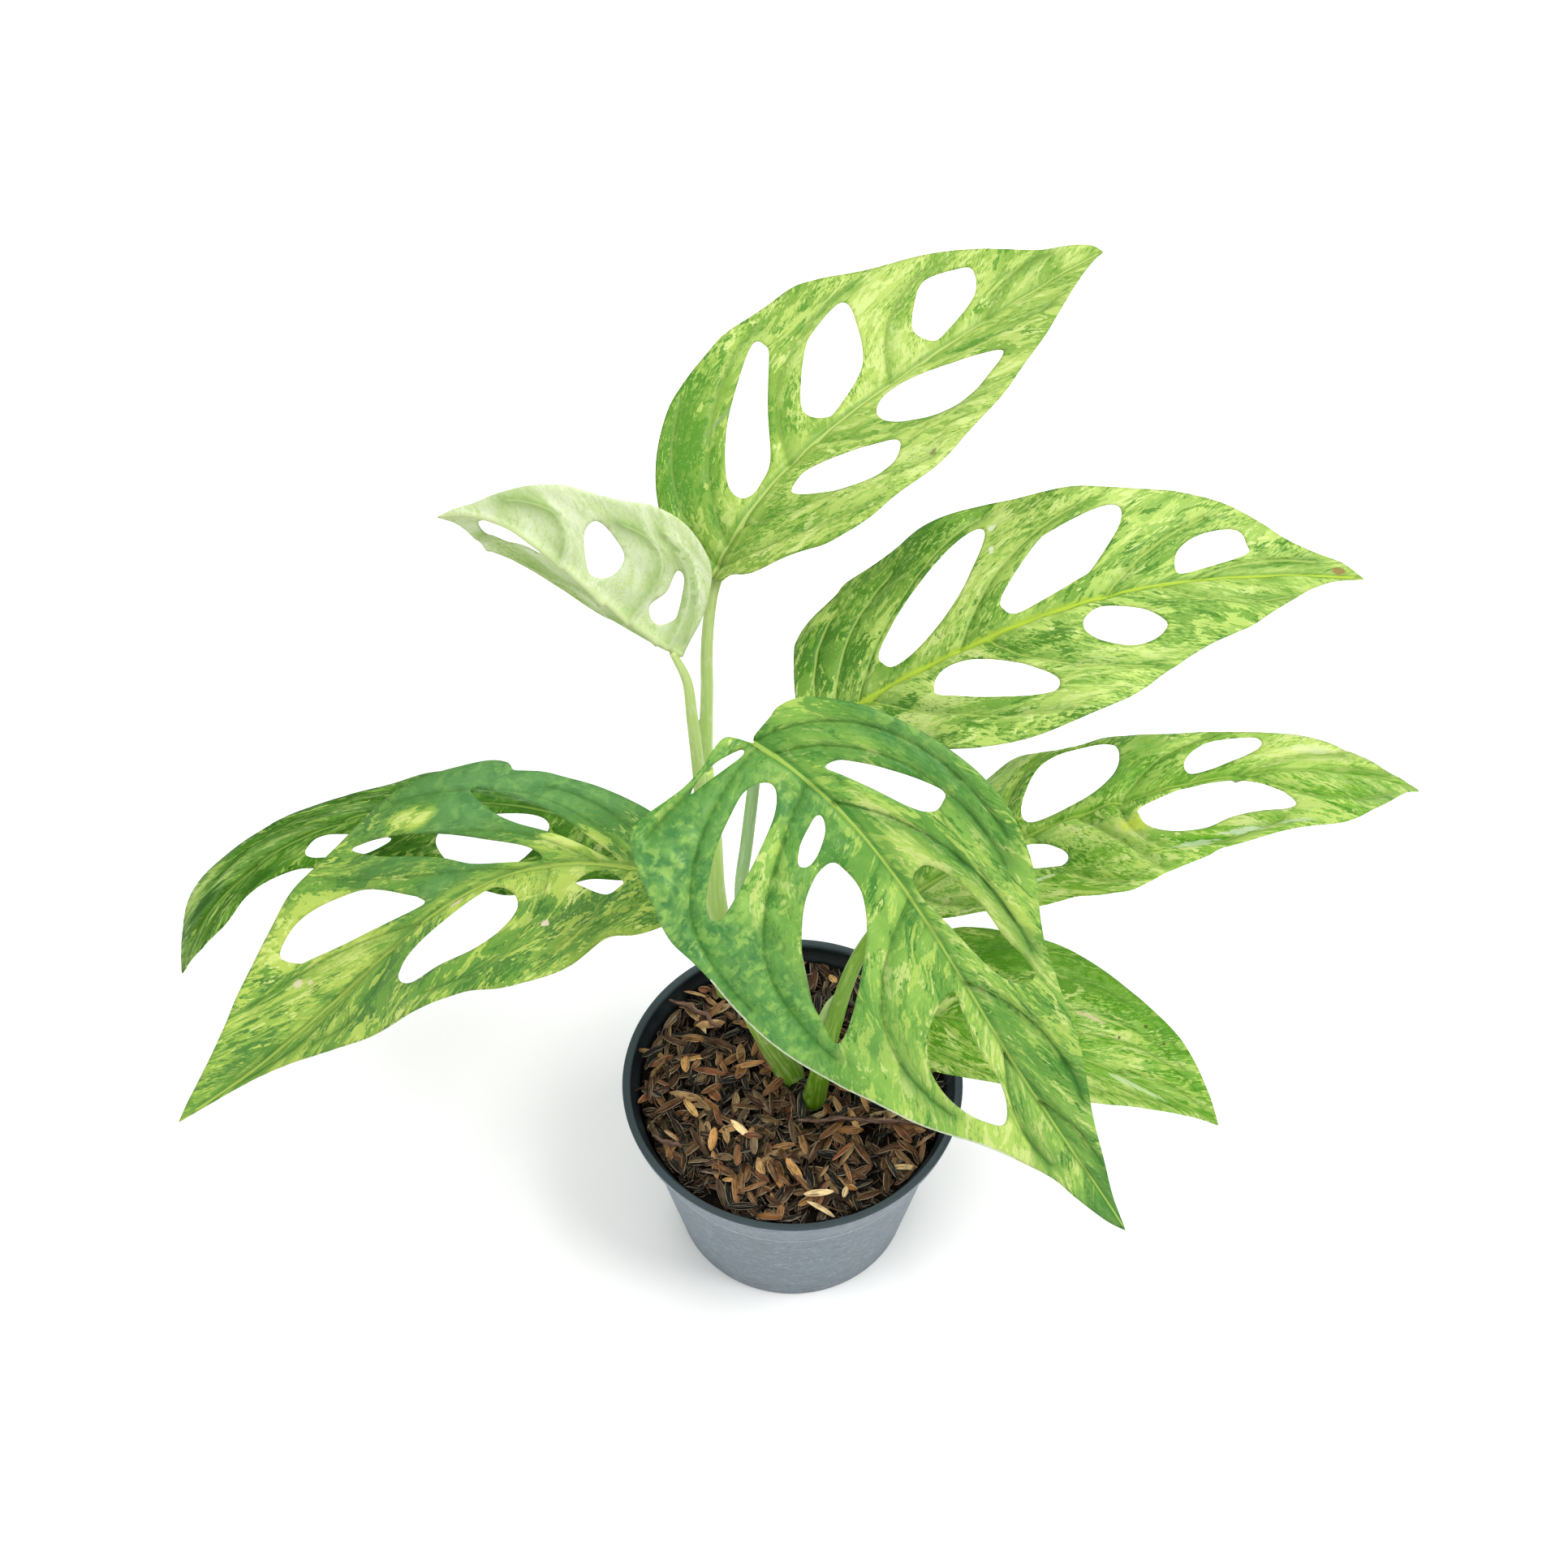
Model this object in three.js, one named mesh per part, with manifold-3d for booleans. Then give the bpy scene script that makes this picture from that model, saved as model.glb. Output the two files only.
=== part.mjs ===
// A variegated swiss cheese vine in a plastic nursery pot.
// Millimetres, +Z up. The origin is the middle of the pot's foot, on the ground,
// and the plant's front faces -Y.
import * as THREE from "three";
import Module from "manifold-3d";

const manifold = await Module();
manifold.setup();

// Driving dimensions of the pot and of what fills it.
const POT = {
  rimRadius: 60, height: 81, footRadius: 42, bodyRadius: 57, wall: 1.4, floor: 2,
  rimBand: 5, rimFlare: 0.6, segments: 56,
  drainHoles: 6, drainRadius: 4, drainCircle: 29,
};
const CLEARANCE = 0.3;
const MIX = { surface: 72.5, dome: 1.5, chips: 105, chipReach: 46, seed: 7 };
const BORE_CLEARANCE = 0.5;

// Driving dimensions of the leaves.
const BLADE = { thickness: 0.8, lattice: 9, edgeStep: 6.5, holeSides: 12 };
const TUBE_SIDES = 8;

// Each blade lies on a surface that its midrib carries. `midrib` holds the control
// points of a Bezier curve from the leaf's base to its tip. `side` says, from base to
// tip, which way the right half points. `fold` is how many degrees each half rises
// from the midrib, at the base and at the tip, and `curl` how many degrees per 10 mm
// it bends down again. `left` and `right` are the edge points, as the distance along
// the midrib and the distance out from it. A hole runs `from` one such point `to`
// another, `wide` across, with its belly shifted by `taper` and its axis bent by `bow`.
const LEAVES = {
  leaf_1: {
    midrib: [[-25, 50, 289], [-12, 74, 309], [13, 99, 310], [42, 125, 308], [69, 146, 314],
      [99, 160, 322]],
    side: [[0.62, -0.72, 0.1], [0.55, -0.75, 0.05], [0.5, -0.8, 0]],
    fold: { left: [20, 20], right: [22, 22] }, curl: { left: 2, right: 2 }, wave: 1.2,
    left: [[-1, 4], [7, 20], [19, 32], [43, 45], [65, 48], [85, 47], [106, 38], [124, 31],
      [140, 22], [154, 12.5], [165, 7]],
    right: [[2, 7], [6, 19], [15, 31], [25, 42], [37, 46], [55, 48], [77, 46], [93, 42],
      [111, 36], [132, 26], [151, 14], [165, 3.5]],
    leftHoles: [
      { from: [26, 5], to: [67, 38], wide: 12.5, taper: 0.35, bow: -1 },
      { from: [62, 6], to: [95, 32], wide: 17, taper: 0, bow: -1 },
      { from: [107, 6], to: [134, 17], wide: 15, taper: -0.1, bow: 2 },
    ],
    rightHoles: [
      { from: [36, 10], to: [63, 34], wide: 17, taper: 0, bow: 1 },
      { from: [73, 12], to: [120, 21], wide: 25, taper: 0.3, bow: 2 },
    ],
  },
  leaf_2: {
    midrib: [[-34, 36, 270], [-49, 38, 281], [-65, 42, 294], [-77, 48, 312], [-89, 52, 321],
      [-107, 55, 311]],
    side: [[0.1, -0.25, -0.95], [0.05, -0.25, -0.95], [0, -0.25, -0.95]],
    fold: { left: [8, 8], right: [32, 22] }, curl: { left: 0, right: 0 }, wave: 0.6,
    left: [[1, 7], [5, 20], [10, 28], [20, 33.5], [32, 35.5], [42, 34], [55, 25], [66, 18],
      [78, 5]],
    right: [[3, 3], [12, 5.5], [27, 8], [42, 11], [58, 15.5], [74, 19], [83, 13], [87, 5]],
    leftHoles: [
      { from: [13, 4], to: [20, 22], wide: 9, taper: 0.3, bow: -0.5 },
      { from: [35, 7], to: [51, 17], wide: 12, taper: 0.1, bow: 0 },
    ],
    rightHoles: [{ from: [57, 4], to: [78, 7], wide: 6.5, taper: 0, bow: 0 }],
  },
  leaf_3: {
    midrib: [[9, 34, 239], [43, 39, 261], [73, 44, 283], [104, 50, 292], [139, 56, 286],
      [178, 64, 273]],
    side: [[0.1, -0.98, -0.05], [0.05, -0.98, -0.05], [0, -0.98, -0.05]],
    fold: { left: [16, 16], right: [16, 16] }, curl: { left: 3, right: 2 }, wave: 1.2,
    left: [[-5, 4], [-5, 14], [0, 30], [5, 33.5], [23, 41], [52, 47], [83, 43], [99, 40],
      [125, 31], [147, 20], [166, 9.5], [177, 5]],
    right: [[5, 9], [19, 24], [45, 42], [58, 47], [79, 49], [95, 46], [119, 31], [147, 16],
      [172, 2.5]],
    leftHoles: [
      { from: [26, 7], to: [69, 35], wide: 15, taper: 0, bow: 0 },
      { from: [68, 6], to: [109, 28], wide: 18, taper: 0, bow: 0 },
      { from: [121, 4], to: [144, 12], wide: 11, taper: 0, bow: 1 },
    ],
    rightHoles: [
      { from: [41, 9], to: [77, 34], wide: 14, taper: 0.1, bow: -2 },
      { from: [89, 10], to: [110, 21], wide: 17, taper: 0, bow: 0 },
    ],
  },
  leaf_4: {
    midrib: [[34, 8, 177], [64, 12, 203], [99, 18, 222], [137, 25, 232], [172, 32, 224],
      [205, 38, 198]],
    side: [[0.1, -0.93, 0.2], [0.05, -0.93, 0.2], [0, -0.93, 0.2]],
    fold: { left: [5, 5], right: [12, 12] }, curl: { left: 5, right: 2 }, wave: 1.2,
    left: [[-1, 8], [9, 25], [23, 34], [38, 39], [50, 43], [61, 40], [82, 36], [104, 27],
      [137, 19], [152, 15.5], [166, 10], [183, 3]],
    right: [[4, 8], [20, 22], [36, 29.5], [51, 37], [72, 45], [80, 47], [100, 41], [121, 35],
      [142, 30], [162, 18]],
    leftHoles: [
      { from: [50, 6], to: [87, 27], wide: 28, taper: -0.1, bow: 4 },
      { from: [105, 5], to: [134, 15], wide: 12, taper: 0.2, bow: 2 },
    ],
    rightHoles: [
      { from: [47, 6], to: [61, 22], wide: 10, taper: 0, bow: 1 },
      { from: [87, 10], to: [132, 20], wide: 25, taper: 0.2, bow: 0 },
    ],
  },
  leaf_5: {
    midrib: [[-12, -2, 274], [28, -20, 258], [45, -40, 228], [61, -60, 192], [89, -76, 162],
      [107, -84, 125]],
    side: [[-0.85, -0.45, -0.1], [-0.85, -0.45, -0.1], [-0.85, -0.45, -0.1]],
    fold: { left: [28, 28], right: [0, 0] }, curl: { left: 2, right: 2 }, wave: 1,
    left: [[-1, 9], [4, 19.5], [17, 29.5], [33, 36], [48, 40], [60, 41], [83, 35], [104, 27],
      [123, 24], [149, 17], [176, 8], [195, 2.5]],
    right: [[-8, 3], [-10, 9], [-11, 23], [-18, 38], [-15, 46], [-7, 53], [3, 59], [24, 63],
      [50, 63], [68, 62], [86, 58], [105, 50], [131, 35], [148, 23], [175, 10], [201, 4]],
    leftHoles: [
      { from: [21, 8], to: [48, 26], wide: 7.5, taper: -0.3, bow: 0 },
      { from: [61, 8], to: [109, 18], wide: 12, taper: 0, bow: 0 },
    ],
    rightHoles: [
      { from: [-2, 5], to: [-8, 22], wide: 2.4, taper: 0, bow: 0 },
      { from: [9, 9], to: [28, 49], wide: 15, taper: 0, bow: 3 },
      { from: [30, 5], to: [37, 20], wide: 7, taper: 0, bow: 0 },
      { from: [43, 14], to: [93, 43], wide: 20, taper: 0.15, bow: 0 },
      { from: [101, 5], to: [147, 14], wide: 17, taper: 0, bow: 5 },
    ],
  },
  leaf_6: {
    midrib: [[35, -10, 143], [58, -14, 143], [81, -20, 139], [103, -26, 132],
      [125, -31, 124], [143, -36, 110]],
    side: [[-0.1, -1, 0], [-0.1, -1, 0], [-0.1, -1, 0]],
    fold: { left: [15, 15], right: [18, 18] }, curl: { left: 2, right: 2 }, wave: 0.8,
    left: [[-2, 7], [4, 24], [13, 32], [29, 35], [48, 36], [66, 32], [94, 22], [113, 6]],
    right: [[-2, 8], [2, 20], [12, 27], [25, 28], [53, 24], [81, 14], [93, 9]],
    leftHoles: [], rightHoles: [],
  },
  leaf_7: {
    midrib: [[-33, 5, 194], [-84, 12, 209], [-112, 6, 199], [-131, -4, 165],
      [-161, -21, 140], [-202, -46, 129]],
    side: [[0.05, 0.98, 0.1], [0, 0.98, 0.1], [-0.2, 0.95, 0.1]],
    fold: { left: [14, 14], right: [16, 16] }, curl: { left: 2, right: 2 }, wave: 1.2,
    left: [[-3, 6], [1, 16], [12, 26], [24, 30], [35, 40], [46, 45], [65, 46], [90, 39],
      [124, 29], [153, 12], [175, 3]],
    right: [[0, 6], [10, 16], [24, 23], [45, 32], [54, 36], [59, 41], [75, 46], [91, 48],
      [111, 46.5], [131, 43], [154, 31], [171, 20], [186, 10]],
    leftHoles: [
      { from: [21, 6], to: [36, 8], wide: 9, taper: 0, bow: 0 },
      { from: [57, 13], to: [105, 17], wide: 20, taper: 0, bow: 0 },
    ],
    rightHoles: [
      { from: [24, 2], to: [64, 33], wide: 6, taper: -0.3, bow: -2.5 },
      { from: [48, 3], to: [105, 40], wide: 9, taper: 0.1, bow: -3 },
      { from: [90, 7], to: [143, 25], wide: 16, taper: -0.15, bow: 4 },
    ],
  },
  leaf_8: {
    midrib: [[-52, 50, 150], [-86, 63, 166], [-125, 65, 170], [-168, 57, 163],
      [-201, 42, 148], [-212, 22, 115]],
    side: [[0.05, 0.98, 0], [0, 0.98, 0], [-0.3, 0.9, 0]],
    fold: { left: [-14, 0], right: [-44, 0] }, curl: { left: 1, right: 1 }, wave: 1,
    left: [[-4, 5], [0, 14], [12, 20], [24, 27], [41, 33], [54, 33], [86, 28], [104, 21],
      [122, 13.5], [146, 9], [160, 10.5], [177, 6]],
    right: [[-5, 6], [-2, 18], [14, 30], [40, 34], [70, 28], [88, 18], [104, 16],
      [124, 16.5], [147, 17.5], [162, 19], [171, 17.5], [180, 10]],
    leftHoles: [
      { from: [33, 6], to: [73, 17], wide: 18, taper: 0, bow: 2 },
      { from: [90, 12], to: [121, 8], wide: 8, taper: 0.2, bow: 0 },
    ],
    rightHoles: [{ from: [24, 7], to: [50, 24], wide: 9, taper: 0, bow: 0 }],
  },
};

// Stems and leaf stalks pass through these points. A section is [place along the
// stalk from 0 to 1, half width, half depth]; `broad` is the way that it is wide.
const STALKS = {
  stem: {
    path: [[1, 5, 52.5], [-0.5, 6, 73], [-8, 9.4, 91], [-16, 13, 114.5], [-25, 20, 152],
      [-27.6, 30, 197.7], [-28.4, 33.4, 216]],
    sections: [[0, 4.6, 4.6], [0.2, 5.2, 4.8], [0.33, 4.4, 4.2], [0.45, 4.3, 4.1],
      [0.5, 4.7, 4.4], [0.56, 4.1, 3.9], [0.72, 3.6, 3.5], [0.78, 3.9, 3.7],
      [0.84, 3.2, 3.1], [1, 2.7, 2.7]],
    broad: [1, 0, 0], rings: 20,
  },
  petiole_1: {
    path: [[-28.5, 34.1, 216.7], [-27.8, 36.5, 233], [-27.2, 39, 249], [-26.8, 43, 268],
      [-25, 48.3, 283], [-22.1, 53.6, 289.5]],
    sections: [[0, 2.6, 2.6], [0.3, 2.1, 2.1], [0.85, 1.7, 1.7], [1, 1.3, 1.3]],
    broad: [1, 0, 0], rings: 11,
    sheath: {
      path: [[-30.4, 34.8, 219], [-29.9, 35.6, 230], [-28.6, 37.4, 240]],
      sections: [[0, 1.6, 0.6], [0.6, 1.5, 0.5], [1, 0.5, 0.4]], broad: [1, 0.1, 0],
    },
  },
  petiole_2: {
    path: [[-29.8, 26.4, 206], [-30.2, 27.6, 222], [-31.7, 30, 246.5], [-33, 32.6, 261],
      [-37.1, 34.4, 272.6]],
    sections: [[0, 2.2, 1.9], [0.4, 2, 1.9], [0.8, 1.5, 1.5], [1, 1.1, 1.1]],
    broad: [1, 0, 0], rings: 10,
  },
  petiole_3: {
    path: [[9.2, 5.2, 52.5], [9.2, 5.2, 73], [4.5, 5, 120], [-1, 9, 165], [-2, 16, 203],
      [1.5, 26, 225], [13.3, 34.6, 239.4]],
    sections: [[0, 3, 2.8], [0.25, 2.5, 2.4], [0.9, 1.8, 1.8], [1, 1.3, 1.3]],
    broad: [1, 0, 0], rings: 14,
  },
  petiole_4: {
    path: [[7, -4.6, 52.5], [7.4, -4.8, 73], [10.4, -6.6, 101], [13.2, -6, 122], [17.6, -3, 145],
      [23, 2, 159], [30, 6.2, 169.5], [38.6, 8.2, 178]],
    sections: [[0, 4, 3.2], [0.15, 4.4, 3.4], [0.3, 3.4, 2.9], [0.55, 2.7, 2.4],
      [0.9, 1.9, 1.9], [1, 1.4, 1.4]],
    broad: [1, 0, 0], rings: 14,
    sheath: {
      path: [[7.8, -6.2, 101], [9.2, -5.4, 118], [12, -4.2, 132], [15.6, -3.4, 142]],
      sections: [[0, 2.2, 0.6], [0.4, 2.6, 0.5], [0.8, 2, 0.45], [1, 0.7, 0.4]],
      broad: [1, 0, -0.2],
    },
  },
  petiole_5: {
    path: [[-12.4, 6, 111], [-14.6, 5.6, 128], [-16.6, 5.4, 160], [-16.9, 5, 189.5],
      [-14.8, 3, 216.5], [-12.6, 0.4, 246], [-11.6, -1, 261], [-9.1, -2.6, 271.6]],
    sections: [[0, 2.6, 2.1], [0.3, 2.2, 2], [0.9, 1.8, 1.8], [1, 1.4, 1.4]],
    broad: [1, 0, 0], rings: 14,
  },
  petiole_6: {
    path: [[20, 6, 52.5], [20, 6, 73], [21, 3, 96], [25.6, -4, 122], [31.6, -8.6, 136.6],
      [39.2, -10.8, 140.7]],
    sections: [[0, 2.6, 2.6], [0.4, 2.1, 2.1], [0.9, 1.5, 1.5], [1, 1.2, 1.2]],
    broad: [1, 0, 0], rings: 12,
  },
  petiole_7: {
    path: [[-23.5, 9.9, 121], [-25.8, 8.2, 139], [-28, 6.6, 160], [-31, 5.8, 181],
      [-37.6, 5.7, 193.5]],
    sections: [[0, 2.4, 2.1], [0.4, 2.1, 2], [0.9, 1.8, 1.8], [1, 1.4, 1.4]],
    broad: [1, 0, 0], rings: 10,
  },
  petiole_8: {
    path: [[-23, 18.4, 121.4], [-31.4, 27.4, 131], [-41, 38.4, 139.6], [-49, 46.8, 145],
      [-56.4, 51.3, 148.8]],
    sections: [[0, 2.2, 2.1], [0.4, 2, 2], [0.9, 1.6, 1.6], [1, 1.2, 1.2]],
    broad: [0, 1, 0], rings: 10,
  },
};
const ROOTED_STALKS = ["stem", "petiole_3", "petiole_4", "petiole_6"];

// Materials, one for each kind of surface.
const matte = (color, roughness = 0.6) =>
  new THREE.MeshStandardMaterial({ color, roughness, metalness: 0 });
const MATERIALS = {
  pot: matte("#4a4f55", 0.55), mix: matte("#5a4030", 0.95), stem: matte("#6f9440"),
  petiole: matte("#86ad52", 0.5), leaf: matte("#7fae45", 0.42), newLeaf: matte("#c3d9a0", 0.45),
};

const vec = (p) => new THREE.Vector3(...p);
const radians = THREE.MathUtils.degToRad;

// Point and direction of a Bezier curve with any number of control points.
function bezier(points, t) {
  let row = points.map(vec);
  let direction = null;
  while (row.length > 1) {
    if (row.length === 2) direction = row[1].clone().sub(row[0]).normalize();
    row = row.slice(1).map((p, i) => row[i].clone().lerp(p, t));
  }
  return { point: row[0], direction };
}

// The surface of a blade: at(s, v) is the point that lies s along the midrib and v out
// from it, to the right where v is positive.
class BladeSurface {
  constructor(leaf) {
    this.leaf = leaf;
    this.lengths = [0];
    this.steps = 200;
    let last = vec(leaf.midrib[0]);
    for (let i = 1; i <= this.steps; i++) {
      const { point } = bezier(leaf.midrib, i / this.steps);
      this.lengths.push(this.lengths.at(-1) + point.distanceTo(last));
      last = point;
    }
    this.length = this.lengths.at(-1);
  }

  parameter(s) {
    if (s <= 0) return 0;
    if (s >= this.length) return 1;
    const i = this.lengths.findIndex((d) => d > s);
    const [a, b] = [this.lengths[i - 1], this.lengths[i]];
    return (i - 1 + (s - a) / (b - a)) / this.steps;
  }

  at(s, v) {
    const { leaf, length } = this;
    const { point, direction } = bezier(leaf.midrib, this.parameter(s));
    const past = s < 0 ? s : Math.max(0, s - length);
    point.addScaledVector(direction, past);
    const u = THREE.MathUtils.clamp(s / length, 0, 1);
    const out = bezier(leaf.side, u).point;
    out.addScaledVector(direction, -out.dot(direction)).normalize();
    const up = new THREE.Vector3().crossVectors(out, direction);
    const half = v < 0 ? "left" : "right";
    const [foldBase, foldTip] = leaf.fold[half];
    const fold = radians(foldBase * (1 - u) + foldTip * u);
    const bend = Math.max(radians(leaf.curl[half]) / 10, 1e-6);
    const a = Math.abs(v);
    const across = (Math.sin(fold) - Math.sin(fold - bend * a)) / bend;
    const rise = (Math.cos(fold - bend * a) - Math.cos(fold)) / bend;
    const edge = (a / 45) ** 2;
    const wave = leaf.wave * edge * Math.sin(s / 7 + (half === "left" ? 0 : 2));
    return point.addScaledVector(out, Math.sign(v) * across).addScaledVector(up, rise + wave);
  }

  normal(s, v) {
    const e = 0.5;
    const side = v === 0 ? [-e, e] : [v - e, v + e];
    const along = this.at(s + e, v).sub(this.at(s - e, v));
    const across = this.at(s, side[1]).sub(this.at(s, side[0]));
    return across.cross(along).normalize();
  }
}

// A smooth line through edge points, divided into steps of about the given length.
function edgeLine(points, step) {
  const curve = new THREE.SplineCurve(points.map(([s, v]) => new THREE.Vector2(s, v)));
  const count = Math.max(4, Math.round(curve.getLength() / step));
  return curve.getSpacedPoints(count);
}

// The ring of a hole: an egg with a bent axis.
function holeRing({ from, to, wide, taper, bow }) {
  const start = new THREE.Vector2(...from);
  const axis = new THREE.Vector2(...to).sub(start);
  const length = axis.length();
  axis.normalize();
  const across = new THREE.Vector2(-axis.y, axis.x);
  const sides = Math.max(7, Math.min(BLADE.holeSides, Math.round(length / 3.4)));
  return Array.from({ length: sides }, (_, i) => {
    const angle = (i + 0.5) / sides * 2 * Math.PI;
    const x = length * (1 - Math.cos(angle)) / 2;
    const y = wide / 2 * Math.sin(angle) * (1 + taper * Math.cos(angle)) +
      bow * Math.sin(angle) ** 2;
    return start.clone().addScaledVector(axis, x).addScaledVector(across, y);
  });
}

const cross2 = (a, b, c) => (b.x - a.x) * (c.y - a.y) - (b.y - a.y) * (c.x - a.x);
const edgeKey = (a, b) => (a < b ? `${a},${b}` : `${b},${a}`);

// Turns edges between neighbouring triangles until the triangles are well shaped.
// Edges in `fixed` stay.
function flipEdges(points, faces, fixed) {
  const angleAt = (p, a, b) => {
    const u = points[a].clone().sub(points[p]);
    const w = points[b].clone().sub(points[p]);
    return Math.abs(Math.atan2(u.cross(w), u.dot(w)));
  };
  for (let pass = 0, turned = true; turned && pass < 60; pass++) {
    turned = false;
    const owners = new Map();
    faces.forEach((face, f) => face.forEach((a, k) => {
      const key = edgeKey(a, face[(k + 1) % 3]);
      owners.set(key, [...(owners.get(key) ?? []), [f, k]]);
    }));
    const touched = new Set();
    for (const [key, list] of owners) {
      if (list.length < 2 || fixed.has(key)) continue;
      const [[f, k], [g, m]] = list;
      if (touched.has(f) || touched.has(g)) continue;
      const [a, b, c] = [faces[f][k], faces[f][(k + 1) % 3], faces[f][(k + 2) % 3]];
      const d = faces[g][(m + 2) % 3];
      if (angleAt(c, a, b) + angleAt(d, a, b) <= Math.PI + 1e-6) continue;
      if (cross2(points[c], points[d], points[b]) <= 1e-9) continue;
      if (cross2(points[d], points[c], points[a]) <= 1e-9) continue;
      faces[f] = [c, a, d];
      faces[g] = [d, b, c];
      touched.add(f).add(g);
      turned = true;
    }
  }
}

// Even triangles over a flat outline with holes, with a lattice of points inside.
function fillOutline(outline, holes, spacing) {
  const rings = [outline, ...holes];
  const points = rings.flat();
  const faces = THREE.ShapeUtils.triangulateShape(outline, holes);
  faces.forEach((f) => {
    if (cross2(...f.map((i) => points[i])) < 0) f.reverse();
  });
  const fixed = new Set();
  let first = 0;
  for (const ring of rings) {
    ring.forEach((_, i) => fixed.add(edgeKey(first + i, first + (i + 1) % ring.length)));
    first += ring.length;
  }
  const borders = rings.flatMap((ring) => ring.map((p, i) => [p, ring[(i + 1) % ring.length]]));
  const clear = (p) => borders.every(([a, b]) => {
    const ab = b.clone().sub(a);
    const t = THREE.MathUtils.clamp(p.clone().sub(a).dot(ab) / ab.lengthSq(), 0, 1);
    return a.clone().addScaledVector(ab, t).distanceTo(p) > 0.5 * spacing;
  });
  flipEdges(points, faces, fixed);
  const box = new THREE.Box2().setFromPoints(outline);
  const rowHeight = spacing * Math.sqrt(3) / 2;
  for (let row = 0, x = box.min.x; x < box.max.x; row++, x += rowHeight) {
    for (let y = box.min.y + (row % 2) * spacing / 2; y < box.max.y; y += spacing) {
      const p = new THREE.Vector2(x, y);
      if (!clear(p)) continue;
      const at = faces.findIndex(([a, b, c]) => cross2(points[a], points[b], p) > 0.01 &&
        cross2(points[b], points[c], p) > 0.01 && cross2(points[c], points[a], p) > 0.01);
      if (at < 0) continue;
      const [a, b, c] = faces[at];
      const n = points.push(p) - 1;
      faces.splice(at, 1, [a, b, n], [b, c, n], [c, a, n]);
    }
  }
  flipEdges(points, faces, fixed);
  return { points, faces };
}

// A leaf blade: both halves filled with triangles alike on the upper and lower face,
// laid on the blade's surface and given its thickness.
function bladeGeometry(leaf) {
  const surface = new BladeSurface(leaf);
  const { length } = surface;
  const ribSteps = Math.round(length / BLADE.lattice);
  const rib = Array.from({ length: ribSteps + 1 }, (_, i) =>
    new THREE.Vector2(length * i / ribSteps, 0));
  const places = new Map();
  const flat = [];
  const faces = [];
  for (const [half, sign] of [["left", -1], ["right", 1]]) {
    const edge = edgeLine([[0, 0], ...leaf[half], [length, 0]], BLADE.edgeStep);
    const outline = [...edge.slice(0, -1), ...rib.slice(1).reverse()];
    const holes = leaf[`${half}Holes`].map(holeRing);
    const fill = fillOutline(outline, holes, BLADE.lattice);
    const index = fill.points.map((p) => {
      const key = `${p.x.toFixed(4)},${(p.y * sign).toFixed(4)}`.replace("-0.0000", "0.0000");
      if (!places.has(key)) places.set(key, flat.push([p.x, p.y * sign]) - 1);
      return places.get(key);
    });
    fill.faces.forEach((f) => {
      const face = f.map((i) => index[i]);
      faces.push(sign > 0 ? face : face.reverse());
    });
  }
  const count = flat.length;
  const positions = [];
  for (const side of [0.5, -0.5]) {
    for (const [s, v] of flat) {
      const p = surface.at(s, v).addScaledVector(surface.normal(s, v), side * BLADE.thickness);
      positions.push(p.x, p.y, p.z);
    }
  }
  const owners = new Map();
  faces.forEach((f) => f.forEach((a, k) => {
    const b = f[(k + 1) % 3];
    if (!owners.delete(edgeKey(a, b))) owners.set(edgeKey(a, b), [a, b]);
  }));
  const index = [];
  faces.forEach(([a, b, c]) => index.push(b, a, c, a + count, b + count, c + count));
  for (const [a, b] of owners.values()) {
    index.push(a, b, a + count, b, b + count, a + count);
  }
  return closedGeometry(positions, index);
}

function closedGeometry(positions, index) {
  const geometry = new THREE.BufferGeometry();
  geometry.setAttribute("position", new THREE.Float32BufferAttribute(positions, 3));
  geometry.setIndex(index);
  geometry.computeVertexNormals();
  return geometry;
}

// A closed stalk along a curve, with an oval section that changes along the way.
// `grow` makes it thicker all round, for the bore that it stands in.
function stalkGeometry({ path, sections, broad, rings = 6 }, grow = 0, sides = TUBE_SIDES) {
  const curve = new THREE.CatmullRomCurve3(path.map(vec), false, "catmullrom", 0.5);
  const positions = [];
  const index = [];
  for (let i = 0; i <= rings; i++) {
    const t = i / rings;
    const centre = curve.getPoint(t);
    const along = curve.getTangent(t);
    const wide = vec(broad).addScaledVector(along, -along.dot(vec(broad))).normalize();
    const deep = new THREE.Vector3().crossVectors(along, wide);
    const after = Math.max(1, sections.findIndex((section) => section[0] >= t));
    const [from, to] = [sections[after - 1], sections[after]];
    const mix = (t - from[0]) / (to[0] - from[0]);
    const [a, b] = [1, 2].map((k) => from[k] * (1 - mix) + to[k] * mix + grow);
    for (let k = 0; k < sides; k++) {
      const angle = k / sides * 2 * Math.PI;
      const p = centre.clone().addScaledVector(wide, a * Math.cos(angle))
        .addScaledVector(deep, b * Math.sin(angle));
      positions.push(p.x, p.y, p.z);
      if (i === rings) continue;
      const [here, next] = [i * sides + k, i * sides + (k + 1) % sides];
      index.push(here, next, here + sides, next, next + sides, here + sides);
    }
  }
  const last = rings * sides;
  for (let k = 1; k < sides - 1; k++) {
    index.push(0, k + 1, k, last, last + k, last + k + 1);
  }
  return closedGeometry(positions, index);
}

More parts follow.
